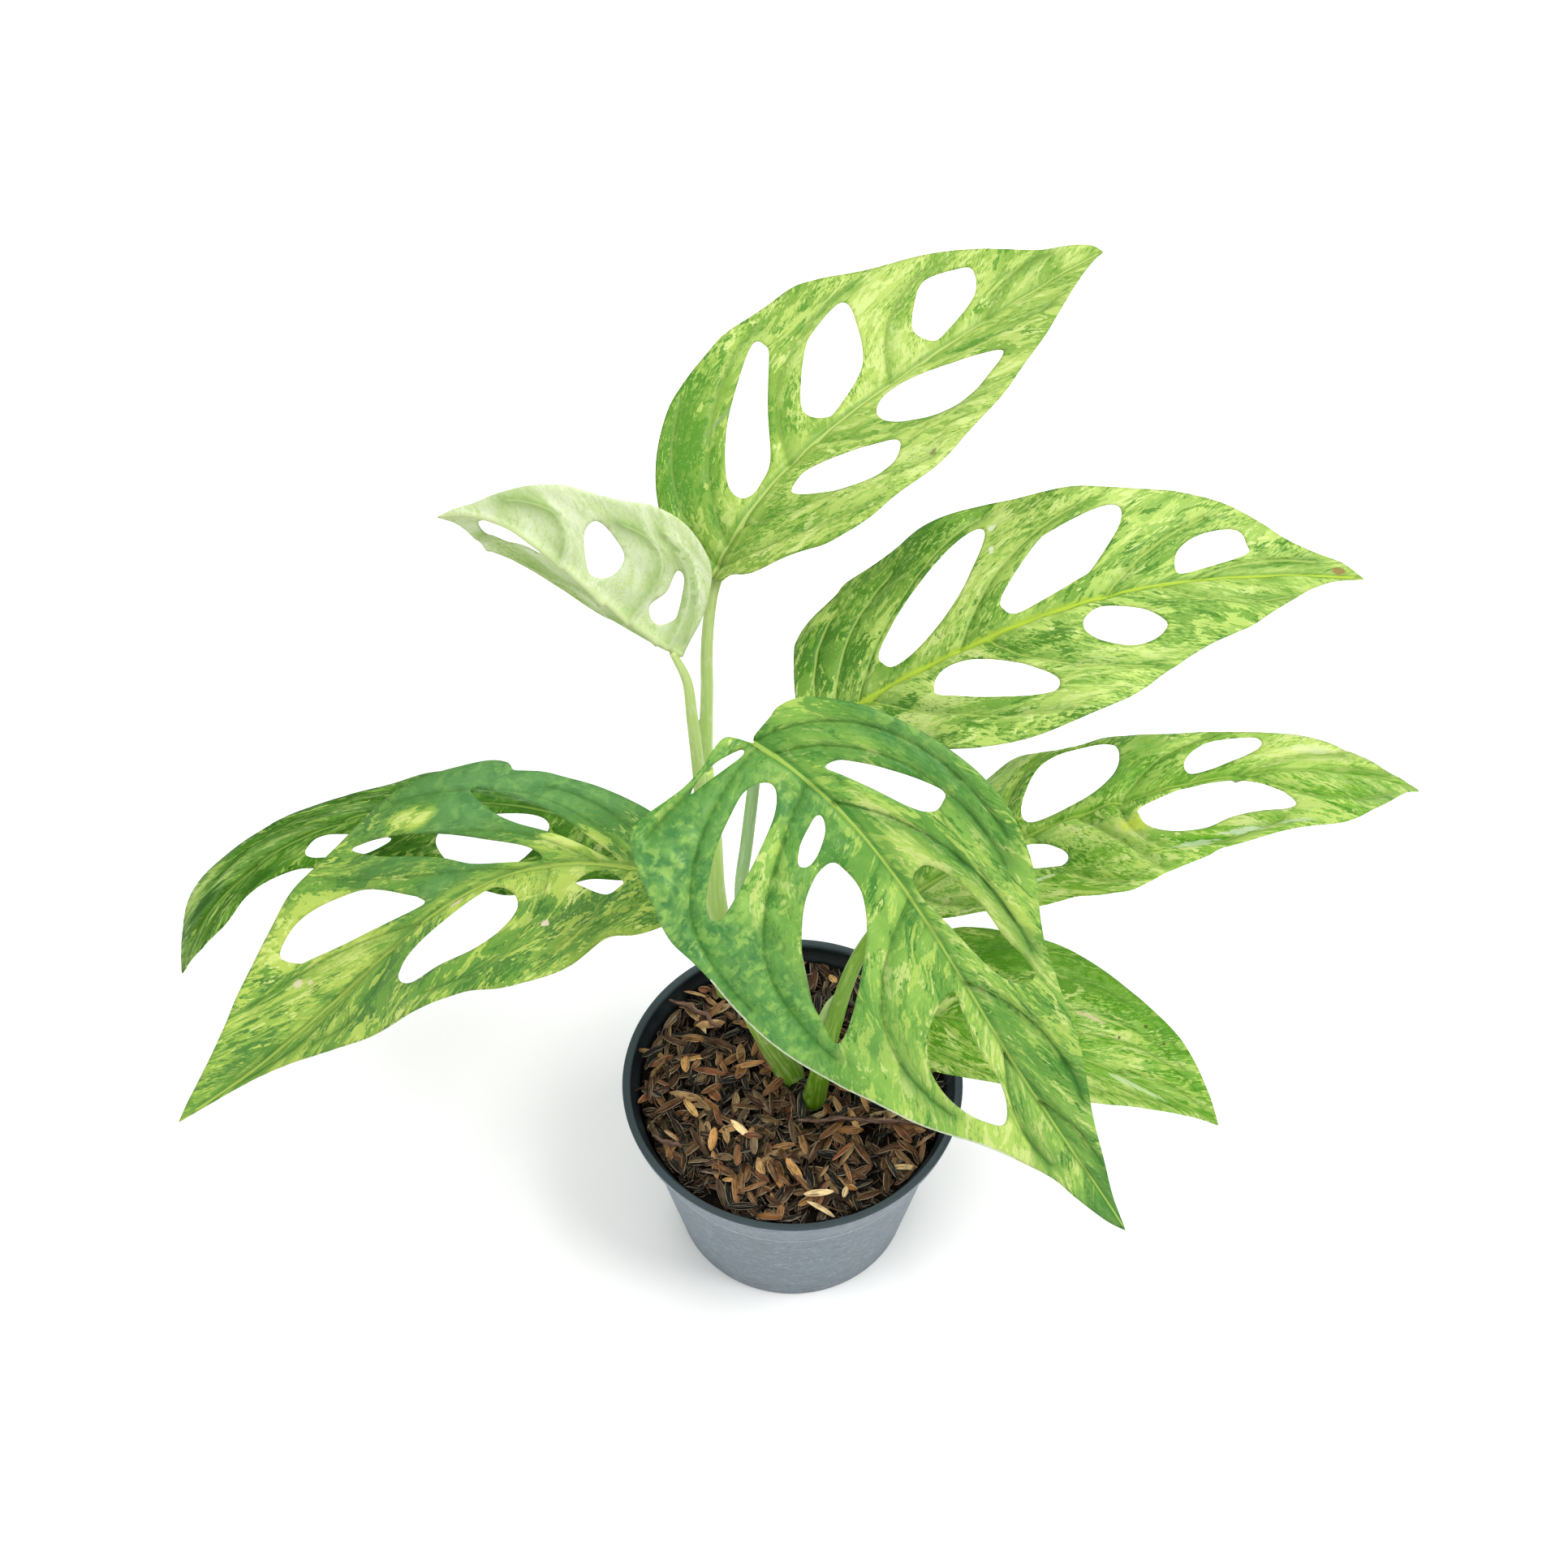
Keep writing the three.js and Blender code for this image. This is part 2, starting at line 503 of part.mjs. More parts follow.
// Geometry to a manifold solid and back, for joins and cuts.
function toSolid(geometry) {
  const positions = geometry.getAttribute("position");
  const places = new Map();
  const vertices = [];
  const merged = Array.from({ length: positions.count }, (_, i) => {
    const p = [positions.getX(i), positions.getY(i), positions.getZ(i)];
    const key = p.map((x) => Math.round(x * 1e4)).join();
    if (!places.has(key)) places.set(key, vertices.push(p) - 1);
    return places.get(key);
  });
  const index = geometry.index ? Array.from(geometry.index.array, (i) => merged[i]) : merged;
  const triangles = [];
  for (let i = 0; i < index.length; i += 3) {
    const [a, b, c] = index.slice(i, i + 3);
    if (a !== b && b !== c && c !== a) triangles.push(a, b, c);
  }
  const mesh = new manifold.Mesh({
    numProp: 3, vertProperties: Float32Array.from(vertices.flat()),
    triVerts: Uint32Array.from(triangles),
  });
  return new manifold.Manifold(mesh);
}

function toGeometry(solid) {
  const mesh = solid.getMesh();
  return closedGeometry(Array.from(mesh.vertProperties), Array.from(mesh.triVerts));
}

// The body's outer radius at a height. The rim band steps out from it.
const wallRadius = (z) =>
  THREE.MathUtils.mapLinear(z, 0, POT.height, POT.footRadius, POT.bodyRadius);

function potGeometry() {
  const { height, wall, floor, rimBand, rimFlare, rimRadius } = POT;
  const band = height - rimBand;
  const profile = [
    [0, 0], [POT.footRadius - 1, 0], [wallRadius(1), 1], [wallRadius(band), band],
    [rimRadius - rimFlare, band + 1], [rimRadius, height - 0.5], [rimRadius - 0.5, height],
    [rimRadius - wall, height], [rimRadius - rimFlare - wall, band + 0.4],
    [wallRadius(band - 1.2) - wall, band - 1.2], [wallRadius(floor) - wall, floor], [0, floor],
  ].map(([r, z]) => new THREE.Vector2(r, z));
  const body = new THREE.LatheGeometry(profile, POT.segments).rotateX(Math.PI / 2);
  const drains = Array.from({ length: POT.drainHoles }, (_, i) => {
    const angle = (i + 0.5) / POT.drainHoles * 2 * Math.PI;
    const drain = new THREE.CylinderGeometry(POT.drainRadius, POT.drainRadius, 3 * floor, 12);
    drain.rotateX(Math.PI / 2);
    drain.translate(POT.drainCircle * Math.cos(angle), POT.drainCircle * Math.sin(angle), floor);
    return toSolid(drain);
  });
  return toGeometry(toSolid(body).subtract(manifold.Manifold.union(drains)));
}

// Husks and bark chips lie over each other on the mix, sunk into it.
function chipSolids() {
  let state = MIX.seed;
  const random = () => {
    state = (state * 1664525 + 1013904223) % 4294967296;
    return state / 4294967296;
  };
  const between = (low, high) => low + (high - low) * random();
  return Array.from({ length: MIX.chips }, (_, i) => {
    const twig = i % 24 === 0;
    const reach = (twig ? 0.7 : 1) * MIX.chipReach * Math.sqrt(random());
    const turn = between(0, 2 * Math.PI);
    const chip = new THREE.OctahedronGeometry(1, 0);
    const long = twig ? between(12, 16) : between(5.5, 8);
    chip.scale(long, twig ? 1.2 : between(2, 3), twig ? 1.2 : between(1.3, 2));
    chip.rotateX(between(-0.5, 0.5)).rotateY(between(-0.25, 0.25) * (twig ? 0.2 : 1));
    chip.rotateZ(between(0, Math.PI));
    chip.translate(reach * Math.cos(turn), reach * Math.sin(turn),
      mixHeight(reach) + between(-0.2, 0.9));
    return toSolid(chip);
  });
}

const mixHeight = (r) => MIX.surface + MIX.dome * (1 - (r / POT.rimRadius) ** 2);

function mixGeometry() {
  const inner = (z) => wallRadius(z) - POT.wall - CLEARANCE * 1.05;
  const bottom = POT.floor + CLEARANCE;
  const profile = [[0, bottom], [inner(bottom), bottom]];
  for (const share of [1, 0.8, 0.6, 0.35, 0]) {
    const r = share * inner(MIX.surface);
    profile.push([r, mixHeight(r)]);
  }
  const body = new THREE.LatheGeometry(profile.map(([r, z]) => new THREE.Vector2(r, z)),
    POT.segments).rotateX(Math.PI / 2);
  const heap = manifold.Manifold.union([toSolid(body), ...chipSolids()]);
  const bores = ROOTED_STALKS.map((name) => {
    const { path, sections, broad } = STALKS[name];
    const [foot, ground, next] = path;
    const bottomPoint = [foot[0], foot[1], foot[2] - BORE_CLEARANCE];
    const top = ground.map((x, k) => x + (next[k] - x) * 16 / (next[2] - ground[2]));
    const widest = Math.max(...sections.map((section) => section[1])) + BORE_CLEARANCE;
    return toSolid(stalkGeometry({
      path: [bottomPoint, ground, top], sections: [[0, widest, widest], [1, widest, widest]],
      broad, rings: 6,
    }, 0, 12));
  });
  // Only the heap itself is kept, without the small gaps that chips close off in it.
  const pieces = heap.subtract(manifold.Manifold.union(bores)).decompose();
  return toGeometry(pieces.reduce((a, b) => (a.volume() > b.volume() ? a : b)));
}

function stalk(spec) {
  const geometry = stalkGeometry(spec);
  if (!spec.sheath) return geometry;
  return toGeometry(toSolid(geometry).add(toSolid(stalkGeometry(spec.sheath))));
}

function part(name, geometry, material) {
  const mesh = new THREE.Mesh(geometry, material.clone());
  mesh.name = name;
  return mesh;
}

const plant = new THREE.Group();
plant.name = "potted_swiss_cheese_vine";
plant.add(part("pot", potGeometry(), MATERIALS.pot));
plant.add(part("potting_mix", mixGeometry(), MATERIALS.mix));
for (const [name, spec] of Object.entries(STALKS)) {
  plant.add(part(name, stalk(spec), name === "stem" ? MATERIALS.stem : MATERIALS.petiole));
}
for (const [name, leaf] of Object.entries(LEAVES)) {
  plant.add(part(name, bladeGeometry(leaf), name === "leaf_2" ? MATERIALS.newLeaf : MATERIALS.leaf));
}

export default plant;
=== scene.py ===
"""A potted variegated swiss cheese vine: fine leaves, stalks, pot and potting mix over their solids."""

import itertools
import math
import random

import bpy
import numpy as np
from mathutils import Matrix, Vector, kdtree, noise
from mathutils.geometry import delaunay_2d_cdt


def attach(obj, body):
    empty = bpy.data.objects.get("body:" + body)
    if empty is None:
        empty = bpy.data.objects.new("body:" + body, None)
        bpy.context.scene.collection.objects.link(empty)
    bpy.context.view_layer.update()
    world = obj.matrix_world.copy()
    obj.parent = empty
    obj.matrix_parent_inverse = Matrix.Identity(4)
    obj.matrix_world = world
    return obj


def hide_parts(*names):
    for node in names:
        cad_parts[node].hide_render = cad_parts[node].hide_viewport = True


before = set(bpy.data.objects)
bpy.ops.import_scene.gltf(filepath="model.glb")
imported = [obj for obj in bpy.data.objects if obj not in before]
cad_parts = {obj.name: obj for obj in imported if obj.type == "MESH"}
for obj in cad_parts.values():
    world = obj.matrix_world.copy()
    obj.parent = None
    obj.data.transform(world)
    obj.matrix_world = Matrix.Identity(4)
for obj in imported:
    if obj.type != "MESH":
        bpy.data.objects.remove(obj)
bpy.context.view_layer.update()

MM = 0.001

# The camera looks down on the plant from in front of it. Its place, like the lights', is in
# metres.
CAMERA_PLACE = (-0.003, -0.528, 0.937)
CAMERA_PITCH_DOWN = 52.4
CAMERA_LENS = 65.2

camera_data = bpy.data.cameras.new("camera")
camera_data.lens = CAMERA_LENS
camera_data.sensor_width = 36
camera = bpy.data.objects.new("camera", camera_data)
camera.location = CAMERA_PLACE
camera.rotation_euler = (math.radians(90 - CAMERA_PITCH_DOWN), 0, 0)
bpy.context.scene.collection.objects.link(camera)
bpy.context.scene.camera = camera

# Dimensions, in millimetres

# The same blades as in the solids: each lies on a surface that its midrib carries. Points
# on it are the distance along the midrib and the distance out from it. Edges run from the
# leaf's base to its tip. Holes are rings of such points. Side veins bend towards the tip: each
# has its place on the midrib, the point that bends it, and its end. Each half's fold is in
# degrees, at the base and at the tip, and its curl in degrees a centimetre.
LEAVES = {
    "leaf_1": dict(
        midrib=[(-25, 50, 289), (-12, 74, 309), (13, 99, 310), (42, 125, 308), (69, 146, 314),
                (99, 160, 322)],
        side=[(0.62, -0.72, 0.1), (0.55, -0.75, 0.05), (0.5, -0.8, 0)],
        fold=dict(left=(20, 20), right=(22, 22)), curl=dict(left=2, right=2), wave=1.2,
        left=[(-1, 4), (2, 12), (7, 20), (13, 26.5), (19, 32), (27, 38), (36, 43), (43, 44.5),
              (53, 45.5), (65, 47.5), (85, 47), (94, 43.5), (105, 38), (124, 31.5), (140, 22),
              (154, 12), (164, 7.5), (170, 4)],
        right=[(0, 5), (3, 9), (6, 19), (15, 30), (21, 38), (26, 42), (37, 47.5), (55, 47.5),
               (77, 46), (93, 42), (111, 35), (132, 26), (151, 13.5), (166, 3)],
        left_holes=[
            [(66, 39), (54, 32), (40, 23), (28, 12), (25.5, 6), (28, 3), (33, 3), (41, 6),
             (53, 18.5), (66, 32), (68, 36)],
            [(95, 32), (82, 30), (75, 26), (62, 13.5), (60, 8.5), (63, 4.5), (68, 3.8), (85, 10.5),
             (94, 24)],
            [(130, 20.5), (120, 23), (112, 17.5), (106, 10.5), (108, 4.5), (113, 3.8), (129, 9),
             (134.5, 17)]],
        right_holes=[
            [(119, 19.5), (101, 7.5), (88, 2.8), (79, 4.5), (73, 11), (73, 19), (80, 27.5),
             (90, 31), (105, 27.5)],
            [(64, 23), (46, 9.2), (39, 8), (34, 12), (38, 24), (46, 33), (57, 34.5), (66, 29)]],
        left_veins=[(4, 15, 28, 40, 42), (11, 34, 33, 72, 44), (44, 62, 35, 101, 35),
                    (88, 99, 22, 123, 26), (128, 142, 12, 158, 8)],
        right_veins=[(3, 17, 23, 38, 42), (18, 30, 27, 66, 43), (55, 68, 32, 100, 33),
                     (100, 119, 14, 146, 11)],
    ),
    "leaf_2": dict(
        midrib=[(-34, 36, 270), (-49, 38, 281), (-65, 42, 294), (-77, 48, 312), (-89, 52, 321),
                (-107, 55, 311)],
        side=[(0.1, -0.25, -0.95), (0.05, -0.25, -0.95), (0, -0.25, -0.95)],
        fold=dict(left=(8, 8), right=(32, 22)), curl=dict(left=0, right=0), wave=0.6,
        left=[(1, 6), (2, 12.5), (5, 20), (10.5, 28), (20, 33), (32, 35.5), (42, 33.5),
              (48, 29.5), (55, 25), (62, 21.5), (67, 17), (73, 10), (79, 4), (86, 1.5)],
        right=[(3, 3), (12, 4.5), (22, 6), (27, 8), (42, 11), (58, 15.5), (75, 19.2), (83, 13),
               (87, 5)],
        left_holes=[
            [(20.5, 22), (18, 14.5), (19, 8), (16, 4.5), (12.5, 4), (10, 7), (10, 10.5), (16, 20.5)],
            [(51, 17.5), (50, 12), (42, 4.5), (38, 3.7), (35, 7), (35, 12), (38, 16), (47, 18.5)]],
        right_holes=[[(77.5, 2.5), (78, 7), (74, 9.2), (66, 8.7), (60, 5), (55, 3), (60, 0.9),
                      (70, 0.8)]],
        left_veins=[(0, 7, 28, 34, 30), (6, 7, 22, 26, 27), (21, 20, 32, 46, 23),
                    (49, 56, 20, 72, 8)],
        right_veins=[(8, 14, 3, 25, 5), (30, 38, 4, 55, 12), (58, 64, 4, 80, 12)],
    ),
    "leaf_3": dict(
        midrib=[(9, 34, 239), (43, 39, 261), (73, 44, 283), (104, 50, 292), (139, 56, 286),
                (178, 64, 273)],
        side=[(0.1, -0.98, -0.05), (0.05, -0.98, -0.05), (0, -0.98, -0.05)],
        fold=dict(left=(16, 16), right=(16, 16)), curl=dict(left=3, right=2), wave=1.2,
        left=[(-4, 2), (-6, 7), (-5.5, 14), (-2, 27), (0, 30.5), (5, 34), (17, 38.5), (23, 42),
              (40, 45), (53, 46.7), (71, 46), (84, 43), (100, 39.5), (112, 36), (126, 32),
              (140, 25.5), (148, 20.5), (158, 13), (167, 8.5), (177, 5)],
        right=[(5, 9), (19, 23.5), (32, 34.5), (45, 42.5), (58, 47), (80, 50), (95, 46.3),
               (108, 38.5), (121, 31.5), (136, 24.5), (148, 16.2), (162, 7), (173, 2)],
        left_holes=[
            [(69, 37.5), (63, 37), (52, 32), (38, 24), (26, 13), (26, 8), (30, 5.5), (41, 8.3),
             (56, 17.5), (68, 31.5)],
            [(108, 30.5), (90, 27.5), (83, 24.7), (69, 12), (68, 7), (73, 4), (92, 8), (98, 11),
             (109, 23.5)],
            [(143, 15.8), (132, 15.3), (124, 11), (121.5, 4.5), (125, 2.7), (144, 7), (145.5, 11)]],
        right_holes=[
            [(56, 7.5), (47, 4.3), (42, 6.5), (40.5, 12), (43, 17), (58, 27), (74, 35), (78, 34),
             (77, 28), (68, 17)],
            [(97, 4.2), (91, 6.7), (89.5, 13), (93, 20), (101, 25.5), (109, 24), (113, 18),
             (108, 10)]],
        left_veins=[(-1, 0, 24, 17, 34), (4, 15, 28, 38, 38), (13, 34, 31, 70, 42),
                    (50, 70, 28, 98, 33), (98, 115, 15, 134, 21), (126, 146, 7, 168, 5)],
        right_veins=[(4, 14, 14, 36, 34), (17, 44, 32, 78, 44), (60, 76, 29, 106, 35),
                     (115, 132, 16, 155, 10)],
    ),
    "leaf_4": dict(
        midrib=[(34, 8, 177), (64, 12, 203), (99, 18, 222), (137, 25, 232), (172, 32, 224),
                (205, 38, 198)],
        side=[(0.1, -0.93, 0.2), (0.05, -0.93, 0.2), (0, -0.93, 0.2)],
        fold=dict(left=(5, 5), right=(12, 12)), curl=dict(left=5, right=2), wave=1.2,
        left=[(-1, 7), (1, 15), (10, 25), (23, 34.5), (38, 39), (46, 42.5), (52, 42), (62, 38.8),
              (72, 37), (82, 36.3), (92, 31), (104, 26), (118, 23), (137, 18.5), (152, 15.5),
              (166, 10), (180, 4)],
        right=[(4, 8), (11, 15), (20, 22), (37, 31), (46, 36), (53, 39), (62, 40), (72, 45),
               (80, 48), (91, 44), (101, 40), (106, 37.5), (121, 35.3), (143, 30), (162, 18.2),
               (180, 5.5)],
        left_holes=[
            [(86, 28.5), (80, 33.5), (72, 35.2), (64, 34.5), (57, 29.5), (51, 17), (50, 9),
             (53, 5), (61, 4.6), (73, 7), (82, 12.5), (86, 20)],
            [(133, 16.5), (124, 18), (115, 17.8), (107, 12), (105, 6), (107.5, 3.4), (118, 5.4),
             (131, 10.7)]],
        right_holes=[
            [(120, 3.5), (109, 1.8), (103, 2), (88, 6.5), (86.5, 12), (88, 19), (94, 25),
             (103, 26.8), (111, 24), (120, 22.9), (129, 23), (132.5, 19), (129, 10)],
            [(54, 6.3), (48, 5), (44.7, 11), (50, 18.5), (59, 23), (62.5, 21), (61, 15)]],
        left_veins=[(0, 4, 16, 26, 32), (46, 39, 27, 62, 37), (82, 97, 19, 119, 21),
                    (120, 140, 10, 162, 9), (152, 162, 4, 178, 3)],
        right_veins=[(6, 20, 18, 44, 33), (52, 58, 30, 78, 43), (68, 80, 22, 88, 42),
                     (81, 82, 50, 126, 27), (124, 140, 26, 173, 8)],
    ),
    "leaf_5": dict(
        midrib=[(-12, -2, 274), (28, -20, 258), (45, -40, 228), (61, -60, 192), (89, -76, 162),
                (107, -84, 125)],
        side=[(-0.85, -0.45, -0.1), (-0.85, -0.45, -0.1), (-0.85, -0.45, -0.1)],
        fold=dict(left=(28, 28), right=(0, 0)), curl=dict(left=2, right=2), wave=1.0,
        left=[(-1, 2), (0, 9), (0.5, 13.5), (4, 19.3), (10, 24), (18, 29), (25, 32.3), (33, 35.5),
              (41, 38), (49, 39.8), (59, 40.5), (67, 39.7), (75, 38), (83, 35.3), (91, 31.3),
              (100, 28), (110, 26.1), (123, 23.7), (136, 21.2), (149, 17), (163, 12),
              (177, 7.8), (195, 2.6)],
        right=[(-5, 1.5), (-8.5, 3.5), (-9.5, 9.5), (-9.5, 15), (-11.5, 23.5), (-16, 34),
               (-18, 40), (-15.5, 45.5), (-7, 53.3), (3, 59.3), (13, 62), (24, 63.1), (45, 63.2),
               (68, 62.1), (85, 58.5), (105, 50), (118, 42.5), (131, 35.3), (141, 28.5),
               (149, 22.8), (161, 16.2), (175, 10.2), (187, 7.6), (202, 3.8)],
        left_holes=[
            [(22, 11), (20.8, 6.8), (26, 8.7), (43, 16), (49.3, 21), (49, 25.5), (46, 27.6),
             (34, 20.3), (26, 14.5)],
            [(61, 7.5), (62, 10.9), (69, 14.8), (80, 17.4), (92, 18.3), (101, 20.3), (107.5, 20.7),
             (109.5, 17.5), (107.5, 13.3), (101, 9.7), (91, 7.3), (80, 5.2), (69, 3.2),
             (63, 4)]],
        right_holes=[
            [(-8.2, 23), (-8.5, 18), (-6.8, 11.5), (-4.2, 6.5), (-1.8, 3.3), (-1, 5), (-3, 10.3),
             (-6, 17.5)],
            [(8.5, 9), (5.5, 14.5), (6, 22.5), (8, 32), (13, 41), (20, 48), (26, 50.3), (29, 48),
             (28, 43), (23, 28), (18, 14), (13, 7.8)],
            [(28.7, 6), (29.3, 10), (31.5, 16), (35.5, 20.3), (38.3, 18.8), (38, 14.5),
             (34.5, 8), (30.7, 5.2)],
            [(42.5, 13), (43, 20), (49, 28.5), (62, 37), (74, 41.8), (86, 43.3), (93.5, 43.3),
             (92, 38.5), (82, 28.3), (69, 17.3), (57, 11.2), (47, 11)],
            [(100.5, 5.2), (101.5, 9.5), (107, 17), (116, 22.4), (126, 23.5), (137, 21),
             (146, 16), (148.3, 12.8), (144, 9.3), (135, 6.9), (120, 7), (109, 5.4), (103, 4.2)]],
        left_veins=[(0, 20, 38, 67, 35), (7, 31, 34, 74, 30), (30, 62, 27, 101, 23),
                    (101, 123, 19, 155, 12), (150, 165, 8, 186, 5)],
        right_veins=[(-1, -9, 20, -13, 41), (2, -12, 68, 68, 59), (20, 36, 63, 99, 46),
                     (68, 90, 42, 136, 25), (128, 148, 13, 172, 8)],
    ),
    "leaf_6": dict(
        midrib=[(35, -10, 143), (58, -14, 143), (81, -20, 139), (103, -26, 132),
                (125, -31, 124), (143, -36, 110)],
        side=[(-0.1, -1, 0), (-0.1, -1, 0), (-0.1, -1, 0)],
        fold=dict(left=(15, 15), right=(18, 18)), curl=dict(left=2, right=2), wave=0.8,
        left=[(-2, 6), (-1, 15), (4.5, 24.5), (13, 31.2), (20, 33.6), (29, 35.3), (42, 36.4),
              (54, 35), (67, 32.2), (80, 28), (94, 21.7), (103, 15), (112, 6.5)],
        right=[(-2, 7), (0, 17), (5.5, 24), (15, 27.3), (26, 27.3), (40, 25.5), (53, 23.7),
               (68, 20), (81, 14.5), (93, 9.5), (105, 4.5)],
        left_holes=[], right_holes=[],
        left_veins=[(3, 30, 52, 88, 24), (14, 50, 43, 97, 16), (32, 60, 28, 101, 11),
                    (46, 72, 19, 106, 7), (76, 92, 7, 111, 2)],
        right_veins=[(3, 16, 30, 52, 20), (12, 34, 28, 72, 14), (25, 52, 20, 88, 8),
                     (50, 70, 12, 100, 3)],
    ),
    "leaf_7": dict(
        midrib=[(-33, 5, 194), (-84, 12, 209), (-112, 6, 199), (-131, -4, 165),
                (-161, -21, 140), (-202, -46, 129)],
        side=[(0.05, 0.98, 0.1), (0, 0.98, 0.1), (-0.2, 0.95, 0.1)],
        fold=dict(left=(14, 14), right=(16, 16)), curl=dict(left=2, right=2), wave=1.2,
        left=[(-3, 6), (1, 16), (8, 23.3), (16, 28), (25, 30.3), (36, 40), (46.5, 45.2),
              (57, 47), (66, 46), (79, 41.5), (90, 39.3), (103, 36), (125, 28.6), (140, 20.5),
              (154, 12), (165, 6.5), (176, 3), (190, 1)],
        right=[(0, 5), (3, 10.5), (10, 16), (17, 20), (24, 23), (33, 26.5), (40, 29), (45.5, 31.7),
               (51, 33.7), (53.3, 35), (54.3, 38), (59, 41.3), (67, 43.7), (76, 45.8), (91, 47.6),
               (106, 48), (118, 45.5), (131, 42.4), (146, 35.4), (154, 30.4), (163, 24.5),
               (172, 18), (185, 10), (195, 4)],
        left_holes=[
            [(37, 8), (34.5, 10.5), (27, 13), (22.5, 9), (21.8, 6.3), (26, 3.3), (31.5, 3.2)],
            [(68, 3.4), (84, 6), (100, 9), (106.5, 14.5), (105.3, 20), (100, 24.3), (89, 25.2),
             (76, 26.5), (66, 24.7), (59.5, 20.5), (56.6, 15.5), (58, 9.5), (62, 5)]],
        right_holes=[
            [(65.5, 33.5), (59, 29.7), (45, 18.5), (34, 9.4), (24, 1.8), (30, 3.5), (43, 10),
             (54, 16), (61, 23.5)],
            [(106, 42), (101, 40), (92, 34.3), (80, 26), (64, 14.2), (52, 7.3), (48, 2.7), (54, 2.7),
             (69, 7.6), (79, 15.6), (95, 28.3), (103, 37)],
            [(105, 23), (113, 28), (126, 31.8), (136, 31.5), (143.5, 27), (139.5, 20), (134, 17.3),
             (112, 10.5), (91.5, 5.2), (91, 8), (95, 12.5)]],
        left_veins=[(6, 14, 16, 30, 29), (20, 28, 26, 52, 42), (46, 49, 46, 98, 31),
                    (106, 122, 24, 150, 8), (120, 145, 8, 176, 1)],
        right_veins=[(8, 22, 17, 46, 27), (17, 47, 28, 88, 44), (30, 68, 20, 108, 39),
                     (54, 94, 12, 120, 42), (94, 131, 18, 162, 19)],
    ),
    "leaf_8": dict(
        midrib=[(-52, 50, 150), (-86, 63, 166), (-125, 65, 170), (-168, 57, 163),
                (-201, 42, 148), (-212, 22, 115)],
        side=[(0.05, 0.98, 0), (0, 0.98, 0), (-0.3, 0.9, 0)],
        fold=dict(left=(-14, 0), right=(-44, 0)), curl=dict(left=1, right=1), wave=1.0,
        left=[(-4, 5), (-3.5, 9), (1, 14), (12, 19), (23, 26), (41, 33), (53, 33.3), (69, 31.3),
              (86, 27.7), (104, 21), (120, 13.8), (127, 11), (140, 8.8), (149, 8.3), (156, 10),
              (162, 10.4), (170, 8.5), (178, 5.5)],
        right=[(-5, 6), (-2, 18), (14, 30), (40, 34), (70, 27.5), (88, 18), (104, 16.3),
               (124, 16.5), (147, 17.5), (162, 19), (171, 17), (179, 10)],
        left_holes=[
            [(73, 17), (71.5, 11), (62, 6.2), (50, 3.8), (40, 2.5), (34.5, 3.5), (33, 7), (37, 15.5),
             (43, 22), (53, 24.8), (66, 24.6)],
            [(111, 3.5), (117, 2.7), (121.5, 6), (120, 9.3), (115, 11.7), (106, 14.5), (98, 15.3),
             (89.5, 12), (99, 8.3)]],
        right_holes=[[(50, 24), (40, 21), (28, 14), (24, 8), (28, 6), (38, 12), (48, 19)]],
        left_veins=[(2, 12, 14, 34, 28), (18, 24, 30, 66, 28), (76, 84, 20, 108, 17),
                    (106, 128, 8, 150, 6), (140, 152, 4, 172, 6)],
        right_veins=[(2, 8, 20, 30, 31), (16, 34, 26, 66, 25), (52, 78, 16, 108, 14),
                     (80, 101, 15, 135, 13), (105, 128, 14, 156, 12)],
    ),
}

